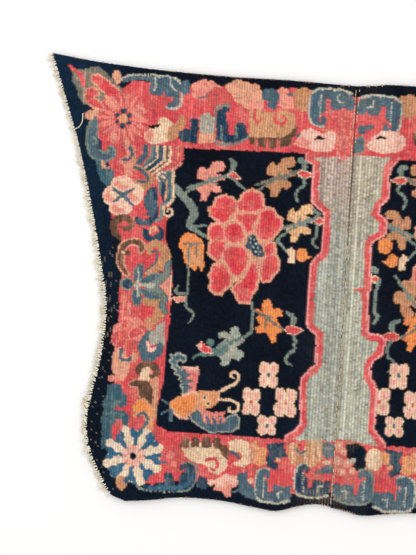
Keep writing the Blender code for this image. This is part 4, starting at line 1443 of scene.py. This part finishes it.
def woolMaterial(name):  # dye x (0.55 + 0.9 fibre + patches), with the fibre as a fine bump
    look = looks["wool"]
    s = Shade(name, 0.92, **{"Specular IOR Level": 0.05, "Sheen Weight": 0.02, "Sheen Roughness": 0.6})
    dye = s.add("Attribute", {"attribute_name": "knots"})
    place = s.add("TexCoord", out=3)
    along = s.add("Mapping", i0=place, Scale=look["fibre"])
    fibre = s.add("TexNoise", Vector=along, Scale=1.0, Detail=2.0, Roughness=0.6)
    patches = s.add("TexNoise", Vector=place, Scale=look["patches"], Detail=3.0, Roughness=0.55)
    shade = fibre * 0.9 + 0.55 + (patches - 0.5) * look["patchShade"]
    grey = s.add("CombineColor", i0=shade, i1=shade, i2=shade)
    s.send("Base Color", s.add("Mix", {"data_type": "RGBA", "blend_type": "MULTIPLY"}, 2, i0=1.0, i6=dye, i7=grey))
    s.send("Normal", s.add("Bump", Strength=look["bump"], Distance=look["depth"], Height=fibre))
    return s.material


def cottonMaterial(name, colours):  # from the dark colour to the light one by fibre and clumps
    look = looks["cotton"]
    s = Shade(name, 0.9, **{"Specular IOR Level": 0.15})
    place = s.add("TexCoord", out=3)
    fibre = s.add("TexNoise", Vector=place, Scale=look["fibre"], Detail=3.0, Roughness=0.7)
    clumps = s.add("TexNoise", Vector=place, Scale=look["clumps"], Detail=2.0, Roughness=0.6)
    fibre = (fibre - 0.5) * 1.8 + (clumps - 0.5) * 1.6 + 0.6
    low, high = (tuple(linear(colour)) + (1.0,) for colour in colours)
    s.send("Base Color", s.add("Mix", {"data_type": "RGBA"}, 2, i0=fibre, i6=low, i7=high))
    s.send("Normal", s.add("Bump", Strength=look["bump"], Distance=look["depth"], Height=fibre))
    return s.material


studio = {  # metres; the camera looks straight down, and is turned as in the photo
    "lens": 85.0,
    "sensor": 36.0,
    "tilt": 3.687,
    "viewHeight": 0.8325,
    "aim": (-0.2062, 0.0153),
    "aimHeight": 0.009,
    "farthest": 20,
    "floor": 0.93,
    "floorReach": 3,
    "world": 1.0,
    "worldColour": (1.0, 0.99, 0.98, 1.0),
    "softbox": 7.0,
    "softboxSize": (1.4, 1.0),
    "softboxAt": (-1.15, 1.05, 1.35),
    "softboxAim": (-0.1, 0.0, 0.0),
}


def makeStudio():
    scene = bpy.context.scene
    scene.view_settings.view_transform = "Standard"
    scene.view_settings.look = "None"
    world = bpy.data.worlds.new("studio")
    scene.world = world
    world.use_nodes = True
    background = world.node_tree.nodes["Background"]
    background.inputs["Color"].default_value = studio["worldColour"]
    background.inputs["Strength"].default_value = studio["world"]
    ground = bpy.data.meshes.new("floor")
    r = studio["floorReach"]
    ground.from_pydata([(-r, -r, 0), (r, -r, 0), (r, r, 0), (-r, r, 0)], [], [(0, 1, 2, 3)])
    floor = bpy.data.objects.new("floor", ground)
    scene.collection.objects.link(floor)
    paper = Shade("paper", 0.9, **{"Specular IOR Level": 0.1, "Base Color": (studio["floor"],) * 3 + (1.0,)})
    ground.materials.append(paper.material)
    box = bpy.data.lights.new("softbox", "AREA")
    box.shape, box.energy = "RECTANGLE", studio["softbox"]
    box.size, box.size_y = studio["softboxSize"]
    lamp = bpy.data.objects.new("softbox", box)
    lamp.location = studio["softboxAt"]
    aim = np.array(studio["softboxAim"]) - np.array(studio["softboxAt"])
    lamp.rotation_euler = (np.arccos(-aim[2] / np.linalg.norm(aim)), 0, np.arctan2(aim[1], aim[0]) - np.pi / 2)
    scene.collection.objects.link(lamp)
    camera = bpy.data.cameras.new("camera")
    camera.lens, camera.sensor_fit, camera.clip_end = studio["lens"], "VERTICAL", studio["farthest"]
    camera.sensor_height = camera.sensor_width = studio["sensor"]
    holder = bpy.data.objects.new("camera", camera)
    distance = studio["viewHeight"] * studio["lens"] / studio["sensor"]
    across, along = studio["aim"]
    holder.location = (across, along - edges["shift"] / 1000, distance + studio["aimHeight"])
    holder.rotation_euler = (0.0, 0.0, np.radians(studio["tilt"]))
    scene.collection.objects.link(holder)
    scene.camera = holder
    print("studio")


wool = woolMaterial("wool")
cotton = cottonMaterial("cotton", looks["warpEnds"])
yarn = cottonMaterial("seamYarn", looks["seam"])
loops = cottonMaterial("weftYarn", looks["weft"])
for side in ("left", "right"):
    half, chart = pileMesh(side)
    half.data.materials.append(wool)
    warp = fringeMesh(side)
    warp.data.materials.append(cotton)
    under = backMesh(chart, side)
    under.data.materials.append(wool)
    weft = selvedgeMesh(side)
    weft.data.materials.append(loops)
    for piece in (half, warp, weft, under):
        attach(piece, "root")
    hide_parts("half_" + side)
    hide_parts("fringe_" + side)
seam = seamMesh()
seam.data.materials.append(yarn)
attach(seam, "root")
makeStudio()
